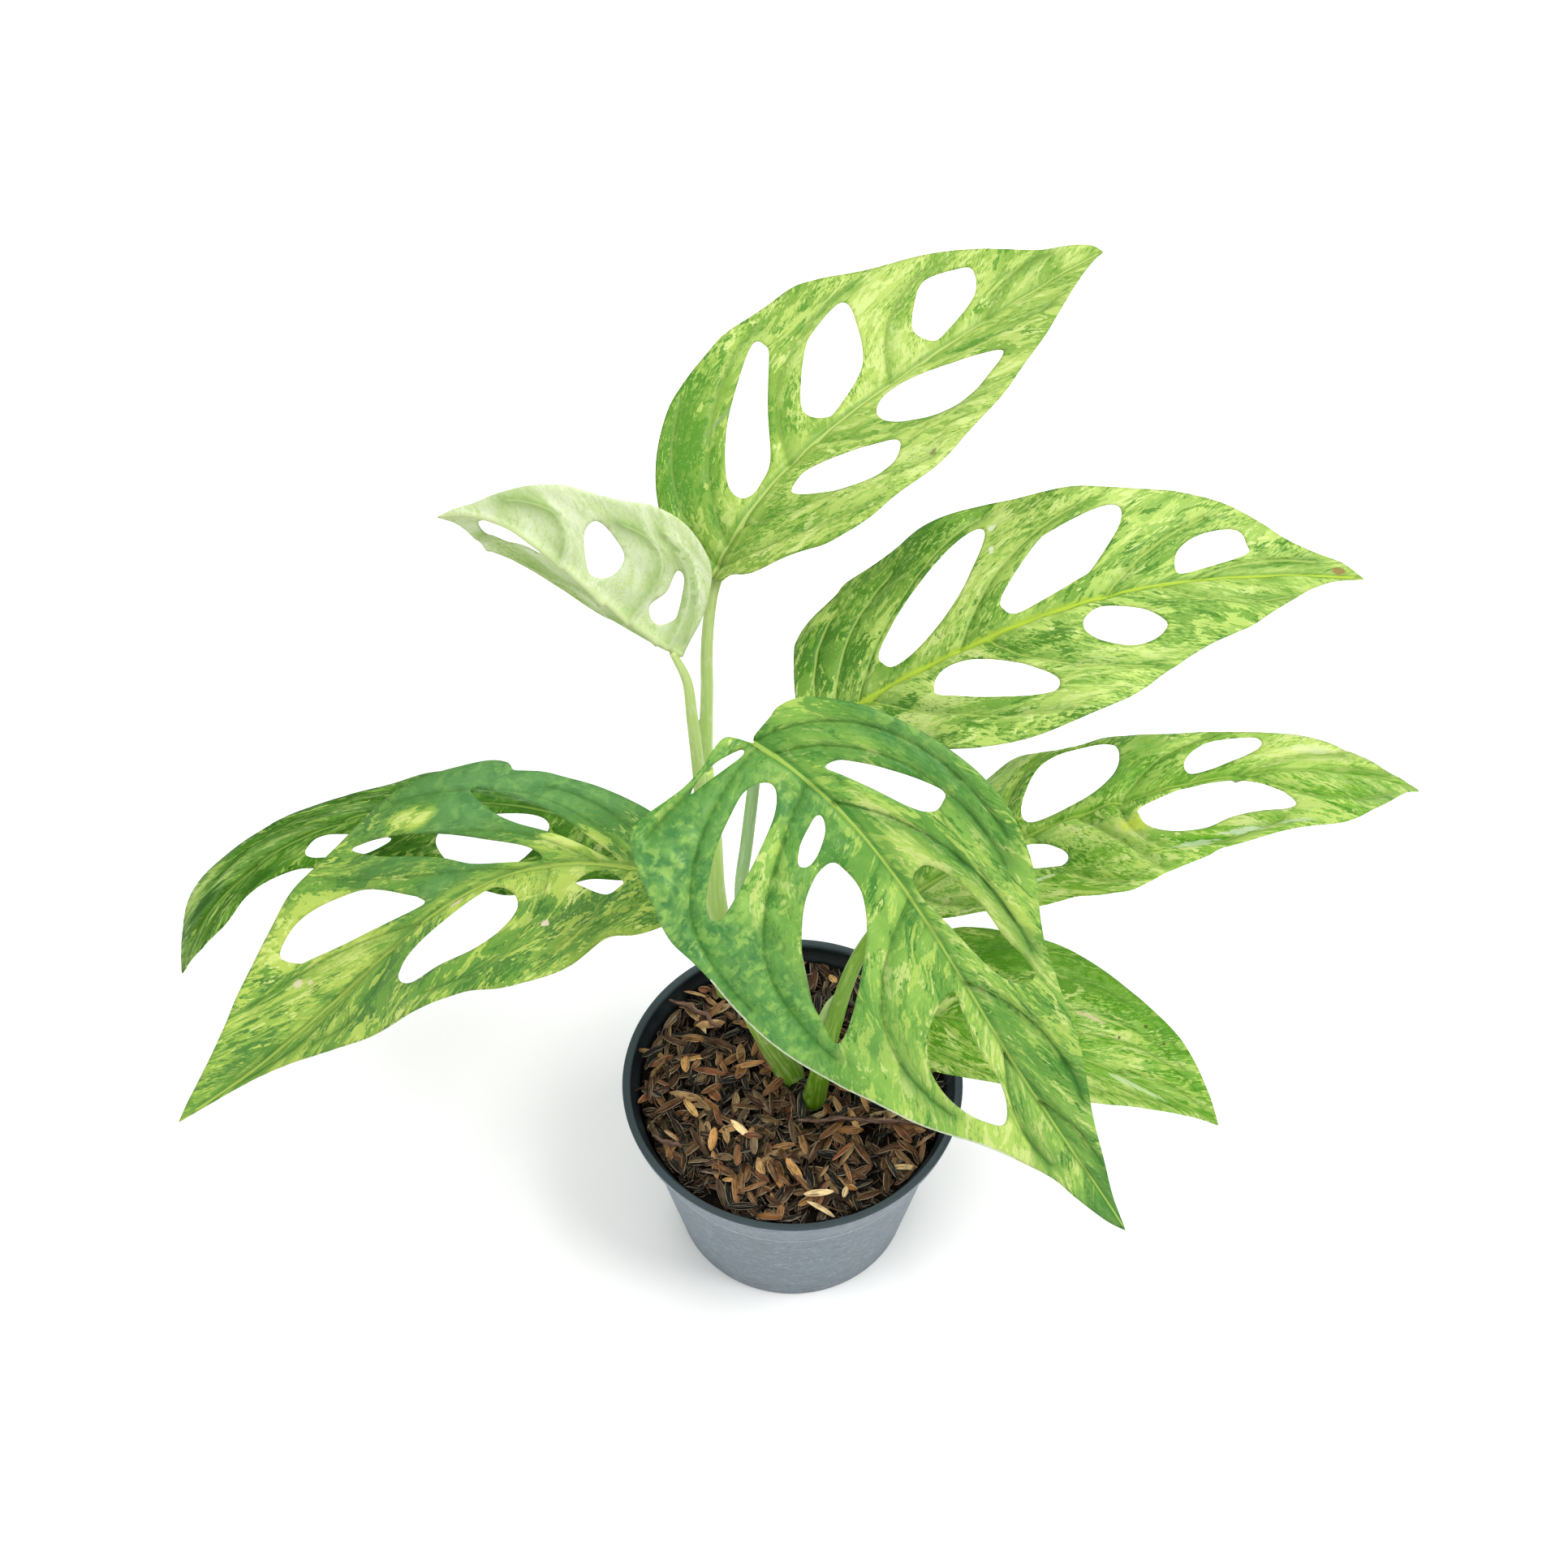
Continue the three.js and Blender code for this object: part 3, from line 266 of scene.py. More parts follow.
# How each leaf is marked. The tones go from the deepest green to the palest yellow. The cuts
# say how rare the deep, light and pale patches are, and blur how soft their edges are. Zones
# are lighter (+) or darker (-) areas, partly the leaf's own markings and partly painted light
# and shade where a part faces towards or away from the light: place along the midrib, place
# across it (left is below 0), two radii, amount. Where calm_zones lie, the patches give way to
# soft blots in the three calm tones. Spots are small marks: place, two radii, colour, amount.
# Quilt is how far the blade swells between its side veins. Bands beside the midrib, dashes,
# the painted shade in the vein creases and the veins' pale gleam each have an amount, and the
# midrib's line has a width, a colour and an amount. Gloom is how wide the painted shade in the
# hollows beyond the veins is, and lee how dark the painted shade on the midrib's left side is.
# The rim shows a painted pale highlight beyond rim_from, a place along the midrib and one
# across it.
MARKS = {
    "leaf_1": dict(
        tones=("#4f8a20", "#7da53b", "#9cbc50", "#b7cf68", "#d0e089"), cuts=(-1.1, 0.25, 1.1),
        quilt=0.85, seed=3.1, bands=0.4, veins=0.5, gleam=0.2, rib=(0.7, "#bdd172", 0.8),
        zones=[(32, -42, 18, 10, -1.55), (20, -24, 18, 14, -1.0), (52, -18, 7, 16, -0.9),
               (93, -12, 14, 14, 0.8), (110, -29, 20, 6, 0.7), (84, 5, 16, 6, 0.5),
               (86, 37, 24, 7, 0.6), (115, 6, 12, 4, -0.8), (20, 13, 10, 7, -0.5)],
        calm_zones=[(30, -40, 16, 6, 0.35), (52, -16, 7, 10, 0.5)],
        spots=[(42, -27, 5, 0.5, "#8c9a7e", 0.5), (85, 27, 1.2, 0.8, "#4d4a2a", 0.8),
               (68, 42, 1.6, 0.8, "#6a6a4a", 0.7)]),
    "leaf_2": dict(
        tones=("#84ab43", "#aeca74", "#c7dc95", "#dbeab8", "#eef6dc"), quilt=1.0, seed=17.7,
        gloom=3.4, zones=[(45, 12, 40, 6, -1.4)]),
    "leaf_3": dict(
        tones=("#437e19", "#75a33b", "#99bd55", "#bbd66b", "#d3e58c"), cuts=(-1.0, 0.4, 1.35),
        quilt=1.0, seed=5.7, bands=0.25, veins=0.3, gleam=0.6, rib=(0.9, "#b8d23c", 0.85),
        zones=[(44, -41, 24, 8, -1.3), (8, -20, 16, 16, -0.9), (74, -37, 10, 7, 0.9),
               (104, -34, 16, 5, 0.6), (84, 12, 16, 5, -0.8), (52, 33, 16, 5, -0.6),
               (76, 42, 18, 6, 0.5), (95, 29, 12, 5, 0.6), (140, -20, 20, 6, 0.5),
               (30, 22, 16, 14, 1.7), (27.5, 12.5, 5.5, 2.6, -7.0)], calm_zones=[(30, -38, 20, 7, 0.5)],
        spots=[(58, 0, 50, 1.5, "#b4d13c", 0.6), (72, -36, 1.2, 1, "#e9efcf", 0.8),
               (70, -28, 1, 1.2, "#e6ebcd", 0.8), (175, -2, 2.4, 1.2, "#8f6a3a", 0.8)]),
    "leaf_4": dict(
        tones=("#448408", "#74aa30", "#9bc355", "#bfd86e", "#d8e492"), cuts=(-0.9, 0.5, 1.5), quilt=1.0,
        seed=8.3, bands=0.2, veins=0.4, gleam=0.3, sheen=0.12, rib=(0.6, "#a3c24c", 0.8),
        calm=("#5c9d30", "#74b03a", "#93c04a"),
        zones=[(82, 14, 14, 8, 1.0), (64, 25, 14, 9, -0.7), (80, -12, 16, 12, -0.9),
               (110, -5, 14, 5, -0.8), (148, -9, 20, 7, 1.2), (104, 31, 8, 4, -0.8),
               (120, 31, 24, 4, 0.9), (60, 33, 20, 5, 0.3), (20, -20, 20, 14, -0.5)],
        calm_zones=[(20, -20, 22, 14, 0.9), (80, -12, 14, 9, 0.7), (96, -25, 8, 8, 0.6)],
        spots=[(98, 33, 6, 1.5, "#d3e3c0", 0.5), (114, 31, 7, 1.3, "#dbe8cf", 0.5),
               (129, 30, 5, 1.2, "#cfe0bb", 0.45), (85, 15, 6, 4, "#cfdf3f", 0.6),
               (52, 27, 6, 1, "#d9e6b8", 0.6), (150, -10, 8, 1.4, "#e2ebb4", 0.5)]),
    "leaf_5": dict(
        tones=("#3c7d2a", "#669c3c", "#8ab84e", "#b3d160", "#d5e488"), cuts=(-0.9, 0.9, 1.6), quilt=1.2,
        seed=11.9, bands=0.15, gloom=3.0, blur=0.04, dashes=0.35, rim_from=(45, 15), lee=0.95,
        veins=0.5, rib=(0.6, "#b0d05c", 0.85), calm=("#417e40", "#619849", "#93be5a"),
        zones=[(30, 10, 24, 8, -0.9), (-4, 36, 12, 16, -0.8), (30, -34, 30, 8, -0.9),
               (22, -14, 22, 6, 0.1), (58, -9, 20, 5, 1.2), (92, -20, 20, 7, 1.1),
               (150, 16, 26, 9, 1.6), (112, 28, 16, 8, 1.0), (128, 3, 20, 4, 0.7),
               (40, 56, 30, 5, 0.6), (92, 14, 20, 6, 0.4), (200, 0, 12, 8, -1.8),
               (70, -36, 12, 6, 0.5), (16, 44, 5, 8, 0.7), (22, 20, 5, 10, 0.5)],
        calm_zones=[(30, 58, 50, 16, 1.3), (0, 42, 14, 30, 1.0), (75, 52, 30, 12, 0.8),
                    (56, 24, 24, 8, 0.7), (105, 30, 18, 8, 0.4), (30, -32, 30, 9, 0.7),
                    (24, 8, 20, 7, 0.7), (22, -14, 18, 5, 0.4)]),
    "leaf_6": dict(
        tones=("#4a8a04", "#75ab34", "#9ac058", "#bdd56a", "#d6e490"), cuts=(-0.35, 0.5, 1.0),
        quilt=0.6, seed=13.4, veins=0.35, bands=0.1, sheen=0.14, rib=(0.5, "#a0c05a", 0.6),
        zones=[(40, -28, 40, 8, -0.9), (74, -24, 20, 6, -0.6)], calm_zones=[(60, -29, 40, 6, 0.6)],
        spots=[(63, -15, 5, 0.6, "#dcc0a4", 0.7), (84, 3, 11, 1.1, "#c5dca4", 0.7),
               (82, -20, 0.7, 0.6, "#4a3d22", 0.8), (90, -17, 0.6, 0.6, "#5a4526", 0.8),
               (74, -12, 0.6, 0.6, "#4a3d22", 0.8)]),
    "leaf_7": dict(
        tones=("#41792b", "#6a9b38", "#97b94a", "#bad15c", "#d3e380"), cuts=(-0.8, 0.4, 1.4), quilt=0.7,
        seed=21.2, veins=0.45, bands=0.35, dashes=0.5, rib=(0.7, "#b4cd5a", 0.8),
        calm=("#4c8344", "#5f9650", "#79aa58"),
        zones=[(48, 32, 58, 19, -2.0), (81, 32, 5, 2.4, 3.4), (87, 37, 5, 2.4, 3.0),
               (84, 8, 24, 5, -0.8), (40, -8, 16, 8, 0.8), (15, 20, 14, 10, -0.5),
               (6, -8, 10, 14, -1.0), (100, -16, 16, 12, -1.1), (122, -10, 14, 8, -0.7),
               (112, 11, 18, 7, 1.0), (136, 30, 22, 8, 0.9), (66, -40, 24, 7, -0.6),
               (172, 4, 20, 7, -1.1), (38, 8, 9, 2.6, 3.0), (30, -14, 8, 7, -1.3),
               (46, -20, 8, 6, -1.1), (64, -22, 14, 3, 1.2)],
        calm_zones=[(46, 32, 50, 18, 1.1), (84, 34, 8, 4, -1.2), (38, 8, 9, 2.6, -0.9),
                    (84, 8, 20, 4, 0.6)],
        spots=[(143, 14, 1.8, 1.4, "#e0d2b4", 0.8), (47, -25, 1.5, 1.3, "#ecdcc2", 0.9),
               (79, -2, 3, 0.9, "#dcc9a8", 0.7), (139, 11, 1, 1, "#d8cfa8", 0.7)]),
    "leaf_8": dict(
        tones=("#285c04", "#437a16", "#659835", "#9cbd56", "#bdd27c"), cuts=(-0.4, 0.9, 1.5), blur=0.03,
        quilt=0.8, seed=29.6, bands=0.1, veins=0.5, dashes=0.5, sheen=0.08, rib=(0.6, "#8db24a", 0.6),
        calm=("#285c00", "#437a16", "#669a36"),
        zones=[(122, 6, 28, 3, 0.5), (124, -6, 8, 4, 1.0), (165, 6, 7, 3, -1.8), (168, 14, 12, 3, 1.2),
               (110, 20, 40, 4, -0.8), (140, -6, 14, 4, -0.5), (50, 10, 30, 8, -1.2)],
        calm_zones=[(50, 10, 34, 16, 1.0), (120, 0, 30, 8, 0.5)]),
}

BLADE_THICKNESS = 0.5
LATTICE = 1.25  # spacing of the points inside a blade
EDGE_STEP = 1.1
HALVES = (("right", 1), ("left", -1))
HALF_SHIFT = 40.0  # sets the grain of the right half apart from the left's
VEIN_START = 1.2  # how far from the midrib a side vein's points start
VEIN_ROOM = 0.8  # how far from an edge they end
MARGIN = 6  # over this width the relief dies down towards an edge
# Across a side vein the blade falls to it over the one width and rises over the other.
VEIN_FALL, VEIN_RISE = 0.9, 3.6
# The heights of the swell between veins and the ripple on it, and the midrib's trough's depth.
SWELL, RIPPLE, TROUGH = 1.7, 0.8, 0.75
# How far the side veins and the midrib stand out on the underside.
UNDER_VEIN, UNDER_RIB = 0.3, 0.9
# Each half waves along its length, most strongly at its edge.
WAVE_WIDTH, WAVE_PACE = 45, 7

# Stalks pass through these points. A section is a place from 0 at the root to 1 at the end, a
# half width and a half depth. The width lies along X, or along what broad gives.
STALKS = {
    "stem": dict(
        path=[(1, 5, 52.5), (-0.5, 6, 73), (-8, 9.4, 91), (-16, 13, 114.5), (-25, 20, 152),
              (-27.6, 30, 197.7), (-28.4, 33.4, 216)],
        sections=[(0, 4.6, 4.6), (0.2, 5.2, 4.8), (0.33, 4.4, 4.2), (0.45, 4.3, 4.1),
                  (0.5, 4.7, 4.4), (0.56, 4.1, 3.9), (0.72, 3.6, 3.5), (0.78, 3.9, 3.7),
                  (0.84, 3.2, 3.1), (1, 2.7, 2.7)]),
    "petiole_1": dict(
        path=[(-28.5, 34.1, 216.7), (-27.8, 36.5, 233), (-27.2, 39, 249), (-26.8, 43, 268),
              (-25, 48.3, 283), (-22.1, 53.6, 289.5)],
        sections=[(0, 2.6, 2.6), (0.3, 2.1, 2.1), (0.85, 1.7, 1.7), (1, 1.3, 1.3)],
        sheath=dict(path=[(-30.4, 34.8, 219), (-29.9, 35.6, 230), (-28.6, 37.4, 240)],
                    sections=[(0, 1.6, 0.6), (0.6, 1.5, 0.5), (1, 0.5, 0.4)], broad=(1, 0.1, 0))),
    "petiole_2": dict(
        path=[(-29.8, 26.4, 206), (-30.2, 27.6, 222), (-31.7, 30, 246.5), (-33, 32.6, 261),
              (-37.1, 34.4, 272.6)],
        sections=[(0, 2.2, 1.9), (0.4, 2, 1.9), (0.8, 1.5, 1.5), (1, 1.1, 1.1)]),
    "petiole_3": dict(
        path=[(9.2, 5.2, 52.5), (9.2, 5.2, 73), (4.5, 5, 120), (-1, 9, 165), (-2, 16, 203),
              (1.5, 26, 225), (13.3, 34.6, 239.4)],
        sections=[(0, 3, 2.8), (0.25, 2.5, 2.4), (0.9, 1.8, 1.8), (1, 1.3, 1.3)]),
    "petiole_4": dict(
        path=[(7, -4.6, 52.5), (7.4, -4.8, 73), (10.4, -6.6, 101), (13.2, -6, 122),
              (17.6, -3, 145), (23, 2, 159), (30, 6.2, 169.5), (38.6, 8.2, 178)],
        sections=[(0, 4, 3.2), (0.15, 4.4, 3.4), (0.3, 3.4, 2.9), (0.55, 2.7, 2.4),
                  (0.9, 1.9, 1.9), (1, 1.4, 1.4)],
        sheath=dict(path=[(7.8, -6.2, 101), (9.2, -5.4, 118), (12, -4.2, 132), (15.6, -3.4, 142)],
                    sections=[(0, 2.2, 0.6), (0.4, 2.6, 0.5), (0.8, 2, 0.45), (1, 0.7, 0.4)],
                    broad=(1, 0, -0.2))),
    "petiole_5": dict(
        path=[(-12.4, 6, 111), (-14.6, 5.6, 128), (-16.6, 5.4, 160), (-16.9, 5, 189.5),
              (-14.8, 3, 216.5), (-12.6, 0.4, 246), (-11.6, -1, 261), (-9.1, -2.6, 271.6)],
        sections=[(0, 2.6, 2.1), (0.3, 2.2, 2), (0.9, 1.8, 1.8), (1, 1.4, 1.4)]),
    "petiole_6": dict(
        path=[(20, 6, 52.5), (20, 6, 73), (21, 3, 96), (25.6, -4, 122), (31.6, -8.6, 136.6),
              (39.2, -10.8, 140.7)],
        sections=[(0, 2.6, 2.6), (0.4, 2.1, 2.1), (0.9, 1.5, 1.5), (1, 1.2, 1.2)]),
    "petiole_7": dict(
        path=[(-23.5, 9.9, 121), (-25.8, 8.2, 139), (-28, 6.6, 160), (-31, 5.8, 181),
              (-37.6, 5.7, 193.5)],
        sections=[(0, 2.4, 2.1), (0.4, 2.1, 2), (0.9, 1.8, 1.8), (1, 1.4, 1.4)]),
    "petiole_8": dict(
        path=[(-23, 18.4, 121.4), (-31.4, 27.4, 131), (-41, 38.4, 139.6), (-49, 46.8, 145),
              (-56.4, 51.3, 148.8)],
        sections=[(0, 2.2, 2.1), (0.4, 2, 2), (0.9, 1.6, 1.6), (1, 1.2, 1.2)],
        broad=(0, 1, 0)),
}

STALK_SIDES = 20
STALK_TONES = {  # at the root, at the end, and of the pale lines
    "green": ("#6a9c22", "#a3c566", "#bcd682"),
    "fresh": ("#5f9204", "#7cab2a", "#a6c860"),
    "pale": ("#b8d876", "#c4dc82", "#dcebb6"),
    "blue": ("#86b85c", "#a6ce86", "#bfdca8"),
    # The stem's tones are lighter than its own green: painted light where the leaves shade it.
    "stem": ("#6ca400", "#cdee80", "#daf0a4"),
    "sheath": ("#8fbc58", "#a8cb78", "#c6dd9c"),
}
STALK_KINDS = dict(stem="stem", petiole_1="pale", petiole_2="pale", petiole_4="fresh",
                   petiole_5="blue")

POT = dict(rim_radius=60, height=81, foot_radius=42, body_radius=57, wall=1.4, floor=2,
           rim_band=5, rim_flare=0.6, drain_holes=6, drain_radius=4, drain_circle=29)
POT_SIDES = 144
RING_HEIGHT = 60.6  # of the faint ring moulded round the pot
POT_STAIN = (37.2, -29, 27)  # a small brown stain on the wall
# The pot's points carry these levels, by which its material tells its parts from each other.
POT_LEVELS = dict(inside=-1.0, lip=0.0, floor=0.4, body=1.0, shoulder=1.12, ring=1.4)
MIX_SURFACE = 72.5
MIX_DOME = 1.5


# Materials

# The light is bright enough to keep the floor nearly white under the plant, so the plant's
# own colours, written as they look, are darkened by as much.
LIGHT_GAIN = 1.35


def linear(colour, gain=LIGHT_GAIN):
    """A #rrggbb colour as light reflected, from 0 to 1, divided by the gain."""
    parts = [int(colour[i:i + 2], 16) / 255 for i in (1, 3, 5)]
    return tuple((c / 12.92 if c <= 0.04045 else ((c + 0.055) / 1.055) ** 2.4) / gain
                 for c in parts) + (1,)


class Graph:
    """A material's nodes, added by what they do. Each call gives the socket that it ends in."""

    def __init__(self, name):
        self.material = bpy.data.materials.new(name)
        self.material.use_nodes = True
        self.tree = self.material.node_tree
        self.shader = self.tree.nodes["Principled BSDF"]

    def put(self, socket, value):
        if isinstance(value, bpy.types.NodeSocket):
            self.tree.links.new(value, socket)
        elif value is not None:
            socket.default_value = linear(value) if isinstance(value, str) else value

    def node(self, kind, inputs=(), output=0, **settings):
        made = self.tree.nodes.new("ShaderNode" + kind)
        for key, value in settings.items():
            setattr(made, key, value)
        for key, value in dict(inputs).items():
            self.put(made.inputs[key], value)
        return made.outputs[output]

    def given(self, name, kind="Fac"):
        """What the mesh holds at each point under a name."""
        return self.node("Attribute", output=kind, attribute_name=name)

    def here(self):
        return self.node("TexCoord", output="Object")

    def math(self, operation, *values):
        return self.node("Math", enumerate(values), operation=operation)

    def product(self, a, b):
        return self.math("MULTIPLY", a, b)

    def scaled(self, vector, scale):
        return self.node("VectorMath", {0: vector, 1: scale}, operation="MULTIPLY")

    def moved(self, vector, step):
        return self.node("VectorMath", {0: vector, 1: step}, operation="ADD")

    def length(self, vector):
        return self.node("VectorMath", {0: vector}, output="Value", operation="LENGTH")

    def noise(self, vector, scale, detail=2.0, rough=0.5, bend=0.0):
        return self.node("TexNoise", {"Vector": vector, "Scale": scale, "Detail": detail,
                                      "Roughness": rough, "Distortion": bend})

    def between(self, value, low, high, to_low=0.0, to_high=1.0):
        """A soft step that is to_low where the value is low, and to_high where it is high."""
        return self.node("MapRange", {0: value, 1: low, 2: high, 3: to_low, 4: to_high},
                         interpolation_type="SMOOTHSTEP")

    def mix(self, factor, a, b, blend="MIX"):
        factor_socket, a_socket, b_socket, result_socket = 0, 6, 7, 2  # those for colours
        return self.node("Mix", {factor_socket: factor, a_socket: a, b_socket: b},
                         output=result_socket, data_type="RGBA", blend_type=blend)

    def coat(self, colour, paint, value, low, high, amount=1.0):
        """Paint over a colour: none where the value is low, the amount where it is high."""
        return self.mix(self.between(value, low, high, 0, amount), colour, paint)

    def bump(self, height, distance, strength, normal=None):
        return self.node("Bump", {"Height": height, "Distance": distance, "Strength": strength,
                                  "Normal": normal})

    def finish(self, **inputs):
        for key, value in inputs.items():
            self.put(self.shader.inputs[key.replace("_", " ")], value)
        return self.material


def leaf_material(name, marks, under=False):
    """Yellow and green patches, drawn out along the side veins, on a satin blade."""
    g = Graph(name)
    seed = marks["seed"]
    deep, green, mid, light, pale = marks["tones"]
    cut_deep, cut_light, cut_pale = marks["cuts"]
    cut_step = 0.085
    grain = g.given("grain", "Vector")  # x across the side veins, y along them, in millimetres
    place = g.moved(g.given("place", "Vector"), (0, 0, seed))  # x along the midrib, y across it
    bias, soft, rib, beside = (g.given(key) for key in ("bias", "soft", "rib", "vein"))

    def veined(along, shift, *form):
        """Noise that is drawn out along the side veins."""
        at = g.moved(g.scaled(grain, (1, along, 1)), (seed * shift, seed * 17, seed * 3))
        return g.noise(at, *form)

    cloud = veined(0.6, 31, 0.055, 2.0, 0.5, 0.5)
    fleck = veined(0.5, 13, 0.62, 4.0, 0.62, 0.5)
    dash = veined(0.3, 5, 1.5, 2.0, 0.6)
    speck = veined(0.6, 9, 2.4, 1.0, 0.6)

    def spread(*layers):
        """Weighted layers about 0, raised or lowered by the leaf's zones."""
        total = g.product(bias, 0.12)
        for layer, weight in layers:
            total = g.math("MULTIPLY_ADD", layer, weight, g.math("SUBTRACT", total, weight / 2))
        return total

    def patch(colour, number, cut, paint, amount, fine, broad=0.0):
        """Patches of one tone with crisp edges. A cut below 0 paints the low end."""
        blotch = veined(0.58, 11 + 7 * number, 0.105 + 0.025 * number, 4.0, 0.6, 0.9)
        tone = spread((blotch, 1.0), (fleck, fine), (dash, 0.15), (cloud, broad))
        blur = math.copysign(marks.get("blur", 0.012), cut)
        return g.coat(colour, paint, tone, cut_step * cut - blur, cut_step * cut + blur, amount)

    colour = g.coat(green, mid, spread((cloud, 1.2), (fleck, 0.2)), -0.1, 0.1)
    colour = patch(colour, 0, -4.1, green, 0.75, 0.4)
    # The zones darken and lighten the blade: partly its own markings, partly painted light and shade.
    colour = g.coat(colour, deep, bias, -0.4, -1.4, 0.7)
    colour = g.coat(colour, light, bias, 0.3, 1.3, 0.55)
    colour = patch(colour, 1, cut_deep, deep, 0.85, 0.45)
    colour = patch(colour, 2, cut_light, light, 0.85, -0.4)
    colour = patch(colour, 3, cut_pale, pale, 0.8, 0.4, 0.4)
    # Long bands run beside the midrib.
    lane = g.noise(g.scaled(place, (0.07, 0.55, 1)), 1.0)
    bands = g.coat(green, light, lane, 0.44, 0.56)
    colour = g.coat(colour, bands, rib, 9.0, 3.0, marks["bands"])
    # Short dashes crowd in some parts, away from the midrib.
    busy = g.product(g.between(veined(0.7, 23, 0.05, 1.0), 0.42, 0.58), g.between(rib, 2.0, 8.0))
    dashes = marks.get("dashes", 1.0)
    light_dash = g.product(busy, g.between(dash, 0.54, 0.59, 0, 0.6 * dashes))
    deep_dash = g.product(busy, g.between(dash, 0.44, 0.4, 0, 0.7 * dashes))
    colour = g.mix(deep_dash, g.mix(light_dash, colour, light), deep)
    colour = g.coat(colour, pale, speck, 0.64, 0.7, 0.35 * dashes)
    # Calm parts have soft blots instead of patches.
    shadow, ground, blot = marks.get("calm", (deep, green, mid))
    calm = g.coat(shadow, ground, g.noise(place, 0.13, 3.0, 0.55, 0.5), 0.34, 0.6)
    calm = g.coat(calm, blot, g.noise(place, 0.3, 3.0, 0.55, 0.3), 0.46, 0.68, 0.85)
    calm = g.coat(calm, blot, fleck, 0.45, 0.7, 0.35)
    colour = g.mix(soft, colour, calm)
    # Painted shade in the hollows and vein creases, the midrib, and a painted highlight on the rim.
    hollow = g.product(g.given("shade"), min(0.85, 0.75 * marks["quilt"]))
    colour = g.mix(hollow, colour, deep)
    # Painted shade in the crease along each side vein.
    colour = g.coat(colour, "#3a6e1a", beside, 0.6, 0.15, marks["veins"])
    colour = g.coat(colour, light, beside, 0.55, 0.3, marks.get("gleam", 0.0))
    # Painted shade in the trough beside the midrib.
    colour = g.coat(colour, deep, rib, 3.0, 0.9, 0.5)
    rib_width, rib_tone, rib_amount = marks["rib"]
    colour = g.coat(colour, rib_tone, rib, rib_width + 0.2, rib_width - 0.2, rib_amount)
    # Painted highlight along the rolled margin.
    colour = g.coat(colour, "#e6f0cf", g.given("edge"), 0.75, 0.3, 0.85)
    for along, across, long, wide, paint, amount in marks.get("spots", ()):
        away = g.scaled(g.moved(place, (-along, -across, -seed)), (1 / long, 1 / wide, 0))
        away = g.math("MULTIPLY_ADD", fleck, 2.6, g.length(away))
        colour = g.coat(colour, paint, away, 2.45, 2.15, amount)
    if under:
        colour = g.mix(0.55, colour, "#b9d09a")
    threads = g.noise(g.scaled(grain, (1, 0.03, 1)), 1.0)
    height = g.math("MULTIPLY_ADD", threads, 0.5, g.product(fleck, 0.4))
    groove = g.bump(g.between(beside, 0.0, 1.1), 0.0006, 0.6 * marks["quilt"],
                    g.bump(height, 0.0004, 0.6))
    return g.finish(Base_Color=colour, Roughness=g.between(fleck, 0.3, 0.7, 0.42, 0.54),
                    Normal=groove, Specular_IOR_Level=marks.get("sheen", 0.2))


def pale_leaf_material(name, marks):
    """The young leaf: whitish green, with painted shade in the hollows beyond its raised pale veins."""
    g = Graph(name)
    seed = marks["seed"]
    deep, green, mid, light, pale = marks["tones"]
    place, bias = g.given("place", "Vector"), g.given("bias")
    at = g.moved(g.scaled(g.given("grain", "Vector"), (1, 0.5, 1)), (seed * 31, seed * 17, seed))
    cloud = g.noise(at, 0.12, 2.0, 0.5, 0.6)
    fleck = g.noise(at, 0.7, 3.0, 0.65)
    net = g.node("TexVoronoi", {"Vector": g.moved(place, (0, 0, seed)), "Scale": 0.9},
                 feature="DISTANCE_TO_EDGE")
    colour = g.coat(mid, light, cloud, 0.35, 0.65)
    colour = g.coat(colour, pale, fleck, 0.5, 0.7, 0.55)
    colour = g.coat(colour, green, fleck, 0.46, 0.34, 0.5)
    colour = g.coat(colour, pale, net, 0.12, 0.02, 0.3)
    colour = g.coat(colour, green, bias, -0.3, -1.0, 0.75)
    dark = g.product(g.between(bias, -0.5, -1.0), g.between(fleck, 0.5, 0.4, 0, 0.8))
    colour = g.mix(dark, colour, deep)
    # Painted shade in the hollows beyond the veins.
    colour = g.mix(g.product(g.given("shade"), 0.9), colour, deep)
    colour = g.coat(colour, "#dbe9b6", g.given("vein"), 0.5, 0.2, 0.35)
    speck = g.noise(g.moved(place, (7, 3, seed)), 0.9, 1.0)
    speck = g.product(g.between(speck, 0.7, 0.74), g.between(bias, -0.4, -0.9, 0, 0.8))
    colour = g.mix(speck, colour, "#7a6a3a")
    colour = g.coat(colour, "#d3e4a0", g.given("rib"), 1.3, 0.6, 0.8)
    return g.finish(Base_Color=colour, Roughness=g.between(fleck, 0.3, 0.7, 0.4, 0.5),
                    Normal=g.bump(fleck, 0.0003, 0.5), Specular_IOR_Level=0.3)


def stalk_material(name, low, high, pale):
    """Smooth green stalks, from a low tone at the root to a high one, with fine pale lines."""
    g = Graph(name)
    grain = g.given("grain", "Vector")  # x round the stalk, y along it, z from root 0 to end 1
    lines = g.noise(g.scaled(grain, (1, 0.04, 0)), 1.6, 2.0, 0.6)
    spots = g.noise(g.scaled(grain, (1, 0.35, 0)), 0.35)
    place = g.node("SeparateXYZ", {0: grain}, output="Z")
    colour = g.coat(low, high, place, 0.0, 1.0)
    colour = g.coat(colour, pale, lines, 0.45, 0.7, 0.6)
    colour = g.coat(colour, pale, spots, 0.55, 0.7, 0.5)
    return g.finish(Base_Color=colour, Roughness=g.between(lines, 0.3, 0.7, 0.4, 0.46),
                    Normal=g.bump(lines, 0.0003, 0.5), Specular_IOR_Level=0.3)


